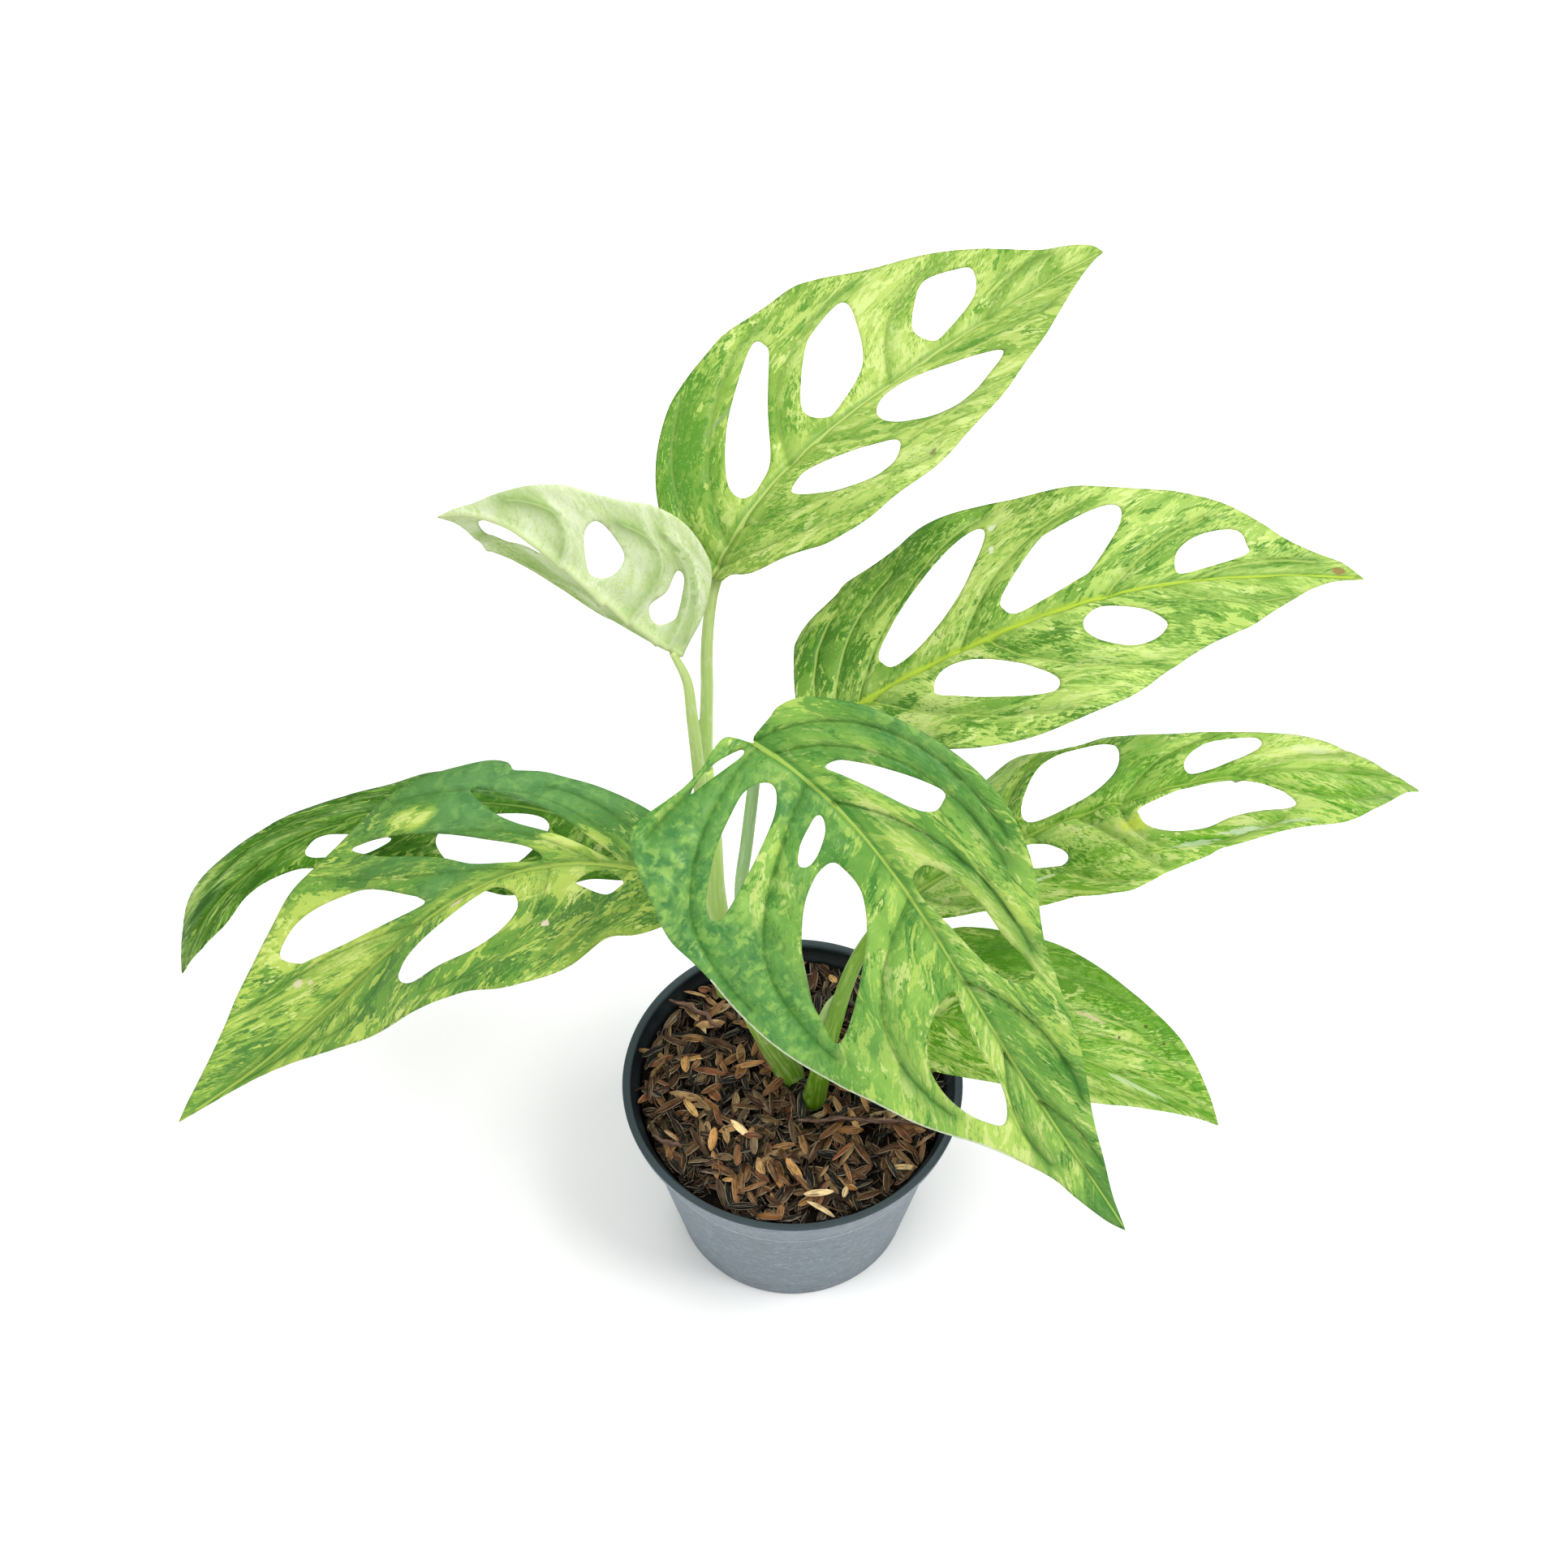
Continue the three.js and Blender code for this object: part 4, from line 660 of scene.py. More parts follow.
def pot_material():
    """Dark moulded plastic. A painted reflection of the bright studio greys the outside, and
    painted shade darkens the inside; the lip is bare.
    """
    g = Graph("pot_plastic")
    here = g.here()
    body = g.given("body")  # one of the POT_LEVELS
    cloud = g.noise(here, 45, 4.0, 0.65, 0.6)
    fibre = g.noise(g.scaled(here, (1, 1, 2.5)), 260, 4.0, 0.7, 2.0)
    scuff = g.noise(g.scaled(here, (1, 1, 9)), 160, 3.0, 0.7, 0.8)
    # Painted shade: the inside is coloured darker than the lip.
    colour = g.coat("#161b20", "#38474e", body, -0.8, -0.1)
    colour = g.coat(colour, "#46545c", cloud, 0.4, 0.7, 0.25)
    # Painted reflection: the bright studio mirrored in the plastic greys the outside.
    painted_reflection = g.product(g.between(body, 0.2, 0.9), g.between(cloud, 0.25, 0.75, 0.7, 1.0))
    colour = g.mix(painted_reflection, colour, "#7b8993")
    outside = g.between(body, 0.5, 0.9)
    for layer, low, high, amount, paint in ((fibre, 0.52, 0.64, 0.7, "#9daab4"),
                                            (fibre, 0.46, 0.36, 0.7, "#5b676f"),
                                            (scuff, 0.56, 0.7, 0.5, "#b4bfc8")):
        streaks = g.product(outside, g.between(layer, low, high, 0, amount))
        colour = g.mix(streaks, colour, paint)
    # Painted light on the downward-facing shoulder above the ring, and a light line on the ring.
    ring = g.product(g.between(body, 1.05, 1.4), g.between(scuff, 0.35, 0.65, 0.25, 0.75))
    colour = g.mix(ring, colour, "#bcc6ce")
    away = g.length(g.moved(here, [-c * MM for c in POT_STAIN]))
    colour = g.coat(colour, "#b58a68", away, 0.002, 0.0008, 0.7)
    return g.finish(Base_Color=colour, Roughness=g.between(cloud, 0.3, 0.7, 0.45, 0.6),
                    Normal=g.bump(fibre, 0.0002, 0.5), Specular_IOR_Level=0.35)


def husk_material():
    """Husks and bark: brown to straw, ribbed along their length, with painted highlights on edges."""
    g = Graph("husks")
    tint, grain = g.given("tint", "Color"), g.given("grain", "Vector")
    ribs = g.noise(g.scaled(grain, (2.6, 0.12, 1)), 1.3, 2.0, 0.6)
    stain = g.noise(grain, 0.32)
    paler = g.mix(0.75, tint, "#ffe9c4", "SCREEN")
    colour = g.coat(tint, "#2c1c10", stain, 0.5, 0.7, 0.45)
    colour = g.coat(colour, "#150d08", ribs, 0.46, 0.36, 0.75)
    colour = g.coat(colour, paler, ribs, 0.55, 0.66, 0.3)
    # Painted highlight along each husk's edges.
    colour = g.coat(colour, paler, g.given("edge_highlight"), 0.78, 0.95, 0.45)
    return g.finish(Base_Color=colour, Roughness=g.between(stain, 0.3, 0.7, 0.34, 0.5),
                    Normal=g.bump(ribs, 0.0005, 0.9), Specular_IOR_Level=0.16)


def humus_material():
    """Dark crumbs under the husks, near black: their own colour and painted shade in the gaps."""
    g = Graph("humus")
    crumb = g.noise(g.here(), 420, 4.0, 0.7)
    return g.finish(Base_Color=g.coat("#080605", "#241810", crumb, 0.35, 0.7), Roughness=0.85,
                    Normal=g.bump(crumb, 0.0012, 0.9), Specular_IOR_Level=0.08)


def floor_material():
    """A nearly white ground."""
    g = Graph("floor")
    tones = (linear(tone, gain=1.0) for tone in ("#f5f5f5", "#f8f8f8"))
    return g.finish(Base_Color=g.mix(g.noise(g.here(), 3.0), *tones), Roughness=0.9,
                    Specular_IOR_Level=0.1)


# Curves and meshes

def unit(rows):
    return rows / np.linalg.norm(rows, axis=-1, keepdims=True)


def smooth(x):
    x = np.clip(x, 0, 1)
    return x * x * (3 - 2 * x)


def circle(sides):
    """The angles of the points round a circle."""
    return np.arange(sides) / sides * 2 * math.pi


def bernstein(n, t):
    return np.stack([math.comb(n, k) * t ** k * (1 - t) ** (n - k) for k in range(n + 1)], -1)


def bezier(points, t):
    points = np.asarray(points, float)
    return bernstein(len(points) - 1, np.asarray(t, float)) @ points


def bezier_slope(points, t):
    points = np.asarray(points, float)
    return bernstein(len(points) - 2, np.asarray(t, float)) @ np.diff(points, axis=0)


def vein_curve(vein, count):
    """Points along a side vein, as places along the midrib and out from it."""
    start, bend_s, bend_v, end_s, end_v = vein
    return bezier([(start, 0), (bend_s, bend_v), (end_s, end_v)], np.linspace(0, 1, count))


def lengths(line):
    """The distance along a line from its start to each of its points."""
    return np.concatenate([[0], np.cumsum(np.linalg.norm(np.diff(line, axis=0), axis=1))])


def smooth_line(rows, per_span):
    """A line through all the given points but the first and last, which bend its ends."""
    t = np.linspace(0, 1, per_span, endpoint=False)[:, None]
    spans = [0.5 * (2 * p1 + (p2 - p0) * t + (2 * p0 - 5 * p1 + 4 * p2 - p3) * t ** 2
                    + (3 * p1 - 3 * p2 + p3 - p0) * t ** 3)
             for p0, p1, p2, p3 in zip(rows, rows[1:], rows[2:], rows[3:])]
    return np.concatenate(spans + [rows[-2:-1]])


def even_line(rows, step, closed=False):
    """Points at even distances along a smooth line through the given ones."""
    rows = np.asarray(rows, float)
    before, after = (rows[-1:], rows[:2]) if closed else (rows[:1], rows[-1:])
    line = smooth_line(np.concatenate([before, rows, after]), 24)
    reach = lengths(line)
    count = max(6, round(reach[-1] / step))
    even = np.linspace(0, reach[-1], count, endpoint=not closed)
    return np.stack([np.interp(even, reach, line[:, k]) for k in (0, 1)], 1)


def tree_of(rows):
    tree = kdtree.KDTree(len(rows))
    for i, row in enumerate(rows):
        tree.insert((row[0], row[1], 0), i)
    tree.balance()
    return tree


def distances(tree, rows):
    return np.array([tree.find((a, b, 0))[2] for a, b in rows])


def inside(rows, rings):
    """Which points lie inside the first ring and outside the others."""
    odd = np.zeros(len(rows), bool)
    for ring in rings:
        for (x0, y0), (x1, y1) in zip(ring, np.roll(ring, -1, axis=0)):
            if y0 != y1:
                hit = (y0 > rows[:, 1]) != (y1 > rows[:, 1])
                odd ^= hit & (rows[:, 0] < (x1 - x0) * (rows[:, 1] - y0) / (y1 - y0) + x0)
    return odd


def lattice(low, high, step):
    """Points in rows, as the corners of even triangles."""
    rows = []
    for i, y in enumerate(np.arange(low[1], high[1], step * math.sqrt(3) / 2)):
        xs = np.arange(low[0] + (i % 2) * step / 2, high[0], step)
        rows.append(np.stack([xs, np.full(len(xs), y)], 1))
    return np.concatenate(rows)


def triangulate(rings, lines, step):
    """Even triangles inside the first ring and outside the others, with the lines as edges.

    Filling points keep clear of the rings and lines, and slivers are left out."""
    points, edges = [], []
    for ring, closed in [(r, True) for r in rings] + [(r, False) for r in lines]:
        first, n = sum(map(len, points)), len(ring)
        points.append(ring)
        edges += [(first + i, first + (i + 1) % n) for i in range(n if closed else n - 1)]
    fixed = np.concatenate(points)
    fill = lattice(rings[0].min(0), rings[0].max(0), step)
    fill = fill[inside(fill, rings)]
    fill = fill[distances(tree_of(fixed), fill) > 0.62 * step]
    made = delaunay_2d_cdt([tuple(r) for r in np.concatenate([fixed, fill])], edges, [], 0, 1e-6)
    rows = np.array([tuple(p) for p in made[0]])
    faces = np.array([f for f in made[2] if len(f) == 3])
    faces = faces[inside(rows[faces].mean(1), rings)]
    a, b, c = (rows[faces[:, k]] for k in range(3))
    area = (b[:, 0] - a[:, 0]) * (c[:, 1] - a[:, 1]) - (b[:, 1] - a[:, 1]) * (c[:, 0] - a[:, 0])
    whole = np.abs(area) > 1e-7
    faces, area = faces[whole], area[whole]
    faces[area < 0] = faces[area < 0][:, ::-1]
    return rows, faces


def border(faces):
    """The edges that belong to one triangle only, in its order."""
    pairs = np.concatenate([faces[:, [0, 1]], faces[:, [1, 2]], faces[:, [2, 0]]])
    _, where, count = np.unique(np.sort(pairs, axis=1), axis=0, return_index=True,
                                return_counts=True)
    return pairs[where[count == 1]]


def ring_faces(count, sides, first=0, capped=True):
    """Quads between rings of points that follow one another, and a face over each end."""
    faces = []
    for start in range(first, first + (count - 1) * sides, sides):
        for k in range(sides):
            here, beside = start + k, start + (k + 1) % sides
            faces.append((here, beside, beside + sides, here + sides))
    if capped:
        last = first + (count - 1) * sides
        faces.append(tuple(range(first + sides - 1, first - 1, -1)))
        faces.append(tuple(range(last, last + sides)))
    return faces


def piece(name, points, faces, materials, nodes, face_slots=None, values=()):
    """A new smooth piece that rides on the root, with its points in millimetres."""
    mesh = bpy.data.meshes.new(name)
    mesh.from_pydata((np.asarray(points) * MM).tolist(), [], faces)
    for material in materials:
        mesh.materials.append(material)
    if face_slots is not None:
        mesh.polygons.foreach_set("material_index", np.asarray(face_slots, np.int32))
    kinds = {1: ("FLOAT", "value"), 3: ("FLOAT_VECTOR", "vector"), 4: ("FLOAT_COLOR", "color")}
    for key, rows in dict(values).items():
        rows = np.asarray(rows, np.float32)
        kind, field = kinds[rows.size // len(rows)]
        mesh.attributes.new(key, kind, "POINT").data.foreach_set(field, rows.ravel())
    mesh.polygons.foreach_set("use_smooth", np.full(len(mesh.polygons), True))
    mesh.update()
    made = bpy.data.objects.new(name, mesh)
    bpy.context.scene.collection.objects.link(made)
    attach(made, "root")
    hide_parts(*nodes)
    return made


# Leaves

class Surface:
    """A blade's middle surface, by place along the midrib (s) and across it (v)."""

    def __init__(self, leaf):
        self.leaf = leaf
        self.t = np.linspace(0, 1, 201)
        self.reach = lengths(bezier(leaf["midrib"], self.t))
        self.length = self.reach[-1]

    def at(self, s, v):
        leaf = self.leaf
        t = np.interp(s, self.reach, self.t)
        along = unit(bezier_slope(leaf["midrib"], t))
        past = np.where(s < 0, s, np.maximum(0, s - self.length))
        point = bezier(leaf["midrib"], t) + past[:, None] * along
        u = np.clip(s / self.length, 0, 1)
        out = bezier(leaf["side"], u)
        out = unit(out - np.sum(out * along, 1, keepdims=True) * along)
        up = np.cross(out, along)
        right = v > 0
        folds = [a * (1 - u) + b * u for a, b in (leaf["fold"]["left"], leaf["fold"]["right"])]
        fold = np.radians(np.where(right, folds[1], folds[0]))
        bend = np.radians(np.where(right, leaf["curl"]["right"], leaf["curl"]["left"]) / 10)
        bend = np.maximum(bend, 1e-6)
        a = np.abs(v)
        across = (np.sin(fold) - np.sin(fold - bend * a)) / bend
        rise = (np.cos(fold - bend * a) - np.cos(fold)) / bend
        wave = leaf["wave"] * (a / WAVE_WIDTH) ** 2 * np.sin(s / WAVE_PACE + np.where(right, 2, 0))
        return point + (np.sign(v) * across)[:, None] * out + (rise + wave)[:, None] * up

    def normal(self, s, v, step=0.5):
        along = self.at(s + step, v) - self.at(s - step, v)
        across = self.at(s, v + step) - self.at(s, v - step)
        return unit(np.cross(across, along))


class Grain:
    """Places across the side veins of one half of a leaf and along them, in millimetres."""

    LEVEL = 2.0  # between the levels out from the midrib at which the veins' places are kept
    REACH = 90  # how far out the levels go
    FAR = 300  # beyond any leaf
    STEEPEST, FLATTEST = 0.2, 1.5  # how a vein may run on past its end
    LEAST_GAP = 7  # between the places of two veins
    CLOSEST = 3  # two veins come to each other at any level

    def __init__(self, veins):
        self.levels = np.arange(0, self.REACH, self.LEVEL)
        lines = []
        for vein in veins:
            rows = vein_curve(vein, 60)
            rows = rows[:np.argmax(rows[:, 1]) + 1]
            out = np.maximum.accumulate(rows[:, 1]) + np.arange(len(rows)) * 1e-4
            slope = (rows[-1, 0] - rows[-8, 0]) / max(0.5, out[-1] - out[-8])
            slope = min(self.FLATTEST, max(self.STEEPEST, slope))
            beyond = np.maximum(0, self.levels - out[-1]) * slope
            line = np.interp(self.levels, out, rows[:, 0]) + beyond
            lines.append(np.maximum(line, lines[-1] + self.CLOSEST) if lines else line)
        self.lines = np.array(lines)
        gaps = np.maximum(self.LEAST_GAP, np.diff(self.lines[:, :10].mean(1)))
        self.place = np.concatenate([[0], np.cumsum(gaps)])

    def at(self, s, a):
        def widened(row):
            return np.concatenate([[row[0] - self.FAR], row, [row[-1] + self.FAR]])

        place = widened(self.place)
        level = a / self.LEVEL
        low = np.clip(level.astype(int), 0, len(self.levels) - 2)
        beside = np.zeros((2, len(s)))
        for k in (0, 1):
            for n in np.unique(low):
                here = low == n
                beside[k, here] = np.interp(s[here], widened(self.lines[:, n + k]), place)
        share = np.clip(level - low, 0, 1)
        q = beside[0] * (1 - share) + beside[1] * share
        return q, np.hypot(s - np.interp(q, place, widened(self.lines[:, 0])), a)


def blade_outline(leaf, length):
    """The edge of a blade and the edges of its holes."""
    right, left = (even_line([(0, 0), *leaf[half], (length, 0)], EDGE_STEP) * (1, sign)
                   for half, sign in HALVES)
    rings = [np.concatenate([right, left[-2:0:-1]])]
    for half, sign in HALVES:
        rings += [even_line(hole, EDGE_STEP, closed=True) * (1, sign)
                  for hole in leaf[f"{half}_holes"]]
    return rings


def rib_lines(leaf, length, rings, walls):
    """Points along the midrib and the side veins, where they lie well on the blade."""
    along = np.arange(LATTICE, length - LATTICE, LATTICE)
    midrib = np.stack([along, 0 * along], 1)
    lines = [midrib[distances(walls, midrib) > 0.5]]
    for half, sign in HALVES:
        for vein in leaf[f"{half}_veins"]:
            vein = vein_curve(vein, 60) * (1, sign)
            reach = lengths(vein)
            even = np.arange(VEIN_START, reach[-1], LATTICE)
            vein = np.stack([np.interp(even, reach, vein[:, k]) for k in (0, 1)], 1)
            clear = inside(vein, rings) & (distances(walls, vein) > VEIN_ROOM)
            for kept, run in itertools.groupby(zip(vein, clear), key=lambda pair: pair[1]):
                rows = [row for row, _ in run]
                if kept and len(rows) > 2:
                    lines.append(np.array(rows))
    return lines


def vein_fields(leaf, gloom_reach, s, v):
    """What the side veins give each place on a blade: its grain, its distance from a vein, how
    far the blade has risen from it, and the painted shade of the hollow beyond it."""
    grain = np.zeros((len(s), 3))
    to_vein, swell, shade = np.zeros((3, len(s)))
    for half, sign in HALVES:
        here = v > 0 if sign > 0 else v <= 0
        side_s, side_v = s[here], np.abs(v[here])
        field = Grain(leaf[f"{half}_veins"])
        q, t = field.at(side_s, side_v)
        nearest, rise, gloom = np.full(len(q), 99.0), np.ones(len(q)), np.zeros(len(q))
        for vein, place in zip(leaf[f"{half}_veins"], field.place):
            line = vein_curve(vein, 150)
            away = np.hypot(side_s[:, None] - line[:, 0], side_v[:, None] - line[:, 1]).min(1)
            beyond = smooth((q - place) / 1.6 + 0.5)
            rise *= ((1 - np.exp(-away / VEIN_FALL)) * (1 - beyond)
                     + (1 - np.exp(-away / VEIN_RISE)) * beyond)
            # Painted shade: the hollow on the far side of each vein is darkened.
            gloom = np.maximum(gloom, np.exp(-away / gloom_reach) * beyond)
            nearest = np.minimum(nearest, away)
        to_vein[here], swell[here], shade[here] = nearest, rise, gloom
        grain[here] = np.stack([q, t, np.full(len(q), HALF_SHIFT * (sign > 0))], 1)
    return grain, to_vein, swell, shade


def zone_sum(zones, s, v):
    """The zones' amounts at each place on a blade, fading out from their middles."""
    total = np.zeros(len(s))
    for zone_s, zone_v, along, across, amount in zones:
        total += amount * np.exp(-((s - zone_s) / along) ** 2 - ((v - zone_v) / across) ** 2)
    return total


def build_leaf(name):
    leaf, marks = LEAVES[name], MARKS[name]
    surface = Surface(leaf)
    length = surface.length
    rings = blade_outline(leaf, length)
    walls = tree_of(np.concatenate([even_line(r, 0.4, closed=True) for r in rings]))
    rows, faces = triangulate(rings, rib_lines(leaf, length, rings, walls), LATTICE)
    s, v = rows.T
    to_edge = distances(walls, rows)
    to_rib = np.abs(v) * (1 + 0.9 * np.clip(s / length, 0, 1))
    grain, to_vein, swell, shade = vein_fields(leaf, marks.get("gloom", 2.4), s, v)
    # Painted shade on the midrib's left side, away from the light.
    shade = np.maximum(shade, marks.get("lee", 0) * np.exp(-to_rib / 3.2) * (v < 0))
    # A painted pale highlight along the rolled outer margin, beyond rim_from only.
    rim = distances(tree_of(even_line(rings[0], 0.3, closed=True)), rows)
    rim_s, rim_v = marks.get("rim_from", (0, 1000))
    rim[(s < rim_s) | (v < rim_v)] = 9

    # The blade falls steeply to each side vein and rises slowly beyond it. It lies calm
    # at its margins, and the midrib runs in a trough.
    calm = 0.3 + 0.7 * smooth(to_edge / MARGIN)
    ripple = np.array([noise.noise((a / 9, b / 6, marks["seed"])) for a, b, _ in grain])
    relief = marks["quilt"] * (SWELL * (swell - 0.65) + RIPPLE * ripple) * calm
    relief -= TROUGH * np.exp(-(to_rib / 1.5) ** 2) * np.clip((length - s) / 30, 0.1, 1)
    under = -UNDER_VEIN * np.exp(-(to_vein / 0.8) ** 2) - UNDER_RIB * np.exp(-(to_rib / 1.3) ** 2)
    middle, normal = surface.at(s, v), surface.normal(s, v)
    half = BLADE_THICKNESS / 2
    top = middle + normal * (half + relief)[:, None]
    bottom = middle + normal * (relief - half + under * np.clip(to_edge, 0, 1))[:, None]

    # Triangles run from s to v, so those of the upper side are reversed.
    count = len(rows)
    a, b = border(faces).T
    sides = np.stack([a, b, b + count, a + count], 1)
    all_faces = faces[:, ::-1].tolist() + (faces + count).tolist() + sides.tolist()
    slots = [0] * len(faces) + [1] * len(faces) + [0] * len(sides)
    values = dict(grain=grain, place=np.stack([s, v, 0 * s], 1), vein=to_vein, shade=shade,
                  rib=to_rib, edge=rim, bias=zone_sum(marks["zones"], s, v),
                  soft=smooth(zone_sum(marks.get("calm_zones", ()), s, v)))
    values = {key: np.concatenate([one, one]) for key, one in values.items()}
    if name == "leaf_2":
        slot, materials = "leaf_new", [pale_leaf_material("leaf_new", marks)] * 2
    else:
        slot = "leaf_variegated"
        materials = [leaf_material(f"{name}_upper", marks),
                     leaf_material(f"{name}_under", marks, under=True)]
    piece(f"{name}_blade", np.concatenate([top, bottom]), all_faces, materials, [name],
          slots, values)


# Stalks

def tube(spec, first=0):
    """A closed stalk along a smooth curve, with its places round and along it."""
    path = np.asarray(spec["path"], float)
    ends = np.concatenate([[2 * path[0] - path[1]], path, [2 * path[-1] - path[-2]]])
    line = smooth_line(ends, 16)
    place = np.arange(len(line)) / (len(line) - 1)
    along = unit(np.gradient(line, axis=0))
    broad = np.asarray(spec.get("broad", (1, 0, 0)), float)
    wide = unit(broad - (along @ broad)[:, None] * along)
    deep = np.cross(along, wide)
    stations, half_widths, half_depths = np.array(spec["sections"], float).T
    a, b = (np.interp(place, stations, half) for half in (half_widths, half_depths))
    angle = circle(STALK_SIDES)
    ring = (a[:, None, None] * np.cos(angle)[None, :, None] * wide[:, None]
            + b[:, None, None] * np.sin(angle)[None, :, None] * deep[:, None])
    points = (line[:, None] + ring).reshape(-1, 3)
    grain = np.broadcast_arrays(angle * 2.5, lengths(line)[:, None], place[:, None])
    return (points, ring_faces(len(line), STALK_SIDES, first),
            np.stack(grain, -1).reshape(-1, 3))


def build_stalk(name, material, sheath_material):
    spec = STALKS[name]
    points, faces, grain = tube(spec)
    slots = [0] * len(faces)
    if "sheath" in spec:
        more, more_faces, more_grain = tube(spec["sheath"], first=len(points))
        points = np.concatenate([points, more])
        grain = np.concatenate([grain, more_grain])
        faces += more_faces
        slots += [1] * len(more_faces)
    piece(f"{name}_fine", points, faces, [material, sheath_material], [name], slots,
          dict(grain=grain))


# Pot

def body_radius(z):
    return POT["foot_radius"] + (POT["body_radius"] - POT["foot_radius"]) * z / POT["height"]


def pot_profile():
    """The pot's section as rings of a radius, a height and one of the POT_LEVELS."""
    top, wall, rim, foot, floor = (POT[k] for k in ("height", "wall", "rim_radius", "foot_radius",
                                                    "floor"))
    band, flare = top - POT["rim_band"], rim - POT["rim_flare"]
    body = [(foot - 1.4, 0), (foot - 0.5, 0.25), (body_radius(1), 1)]
    body += [(body_radius(z), z) for z in np.linspace(4, RING_HEIGHT - 1.2, 11)]
    ring = [(body_radius(RING_HEIGHT + z) + rise, RING_HEIGHT + z)
            for z, rise in ((-0.6, 0.05), (-0.3, 0.2), (0.3, 0.2), (0.6, 0.12))]
    shoulder = [(body_radius(RING_HEIGHT + z) + rise, RING_HEIGHT + z)
                for z, rise in ((3, 0.3), (7, 0.8), (10.5, 1.4), (13.5, 2.1))]
    shoulder += [(flare - 0.6, band + 0.3), (flare - 0.15, band + 1), (flare, band + 1.6),
                 (rim - 0.35, top - 1.8), (rim - 0.2, top - 1.3), (rim, top - 0.7)]
    lip = [(rim - inset, top - drop) for inset, drop in
           ((0.1, 0.25), (0.4, 0), (1.3, 0.02), (2.3, 0.05), (2.7, 0.3), (2.85, 0.9))]
    inner = [(rim - 2.9, top - 2), (rim - 3, band + 1), (body_radius(band) - wall + 0.6, band - 0.6),
             (body_radius(band - 2) - wall, band - 2)]
    inner += [(body_radius(z) - wall, z) for z in np.linspace(band - 6, floor + 1.5, 8)]
    inner += [(body_radius(floor) - wall - 1, floor)]
    levels = [POT_LEVELS["body"]] * len(body)
    levels += [POT_LEVELS[key] for key in ("body", "ring", "ring", "shoulder")]
    levels += [POT_LEVELS["shoulder"]] * len(shoulder) + [POT_LEVELS["lip"]] * len(lip)
    levels += [POT_LEVELS["inside"]] * len(inner)
    rows = body + ring + shoulder + lip + inner
    return [(r, z, level) for (r, z), level in zip(rows, levels)]


def build_pot():
    profile = pot_profile()
    angle = circle(POT_SIDES)
    points = [(r * math.cos(a), r * math.sin(a), z) for r, z, _ in profile for a in angle]
    values = [level for _, _, level in profile for _ in angle]
    faces = ring_faces(len(profile), POT_SIDES, capped=False)
    # The floor: two pierced discs with the walls of the drain holes between them.
    count, circle_radius, radius = (POT[k] for k in ("drain_holes", "drain_circle",
                                                     "drain_radius"))
    around = circle(28)
    drains = [np.stack([circle_radius * math.cos(t) + radius * np.cos(around),
                        circle_radius * math.sin(t) + radius * np.sin(around)], 1)
              for t in (np.arange(count) + 0.5) / count * 2 * math.pi]
    floor_top = profile[-1][1]
    for r, z, up in ((profile[0][0], 0.0, False), (profile[-1][0], floor_top, True)):
        edge = np.stack([r * np.cos(angle), r * np.sin(angle)], 1)
        rows, triangles = triangulate([edge, *drains], [], 6.0)
        faces += ((triangles if up else triangles[:, ::-1]) + len(points)).tolist()
        points += [(x, y, z) for x, y in rows]
    for drain in drains:
        walls = ring_faces(2, len(drain), len(points), capped=False)
        faces += [(b, a, d, c) for a, b, c, d in walls]
        points += [(x, y, z) for z in (0.0, floor_top) for x, y in drain]
    values += [POT_LEVELS["floor"]] * (len(points) - len(values))
    piece("pot_fine", points, faces, [pot_material()], ["pot"],
          values=dict(body=values))


# Potting mix

MIX_REACH = body_radius(MIX_SURFACE) - POT["wall"] - 0.4
HEAP_SIDES = 120
HUSKS = 1500
HUSK_LENGTH, SHORT_HUSK_LENGTH, HUSK_WIDTH = (8.5, 12.5), (4, 7), (2.3, 3.3)
LONG_SHARE, CHAR_SHARE, STRAW_SHARE = 0.8, 0.18, 0.075
HUSK_DEPTH = 4.2  # from the lowest husks to the highest
SLIVERS = 300
SLIVER_LENGTH, SLIVER_THICKNESS, CHAR_THICKNESS = (5, 13), (0.4, 0.9), (0.8, 1.4)
HUSK_TINTS = ("#8b613b", "#9c7145", "#785032", "#b08657", "#624026", "#4c3120", "#c79c68",
              "#8f5f34", "#7d4c30", "#765e45")
STRAW_TINTS = ("#e6bf86", "#f0cf9a", "#dbaa66", "#e3a864")
CHAR_TINTS = ("#101214", "#17181a", "#1c1611")
SLIVER_TINTS = ("#5a3a2a", "#6d4733", "#7d5a3c")
# The long twigs: middle, length, thickness and turn.
TWIGS = ((-36, 27.5, 22, 2, -0.7), (22.8, -15.6, 42, 1.8, -0.05), (-43.5, -21.5, 11, 2, -0.1))
# Where the stems stand in the mix, and how far round them nothing lies.
STEM_ROOM = ((-0.5, 6, 5.4), (9.2, 5.2, 3.0), (7.2, -4.7, 4.6), (20, 6, 2.8))


def mix_top(x, y):
    """The height of the mix: a low dome, heaped up at the back on the left."""
    dome = MIX_SURFACE + MIX_DOME * (1 - (math.hypot(x, y) / POT["rim_radius"]) ** 2)
    return dome + 2.6 * max(0.0, (-0.85 * x + 0.53 * y) / MIX_REACH) ** 1.3


def anywhere(rng, spread):
    """A place on the mix that is clear of the stems."""
    while True:
        r = MIX_REACH * math.sqrt(rng.random()) * spread
        a = rng.uniform(0, 2 * math.pi)
        x, y = r * math.cos(a), r * math.sin(a)
        if all(math.hypot(x - stem_x, y - stem_y) > room for stem_x, stem_y, room in STEM_ROOM):
            return x, y


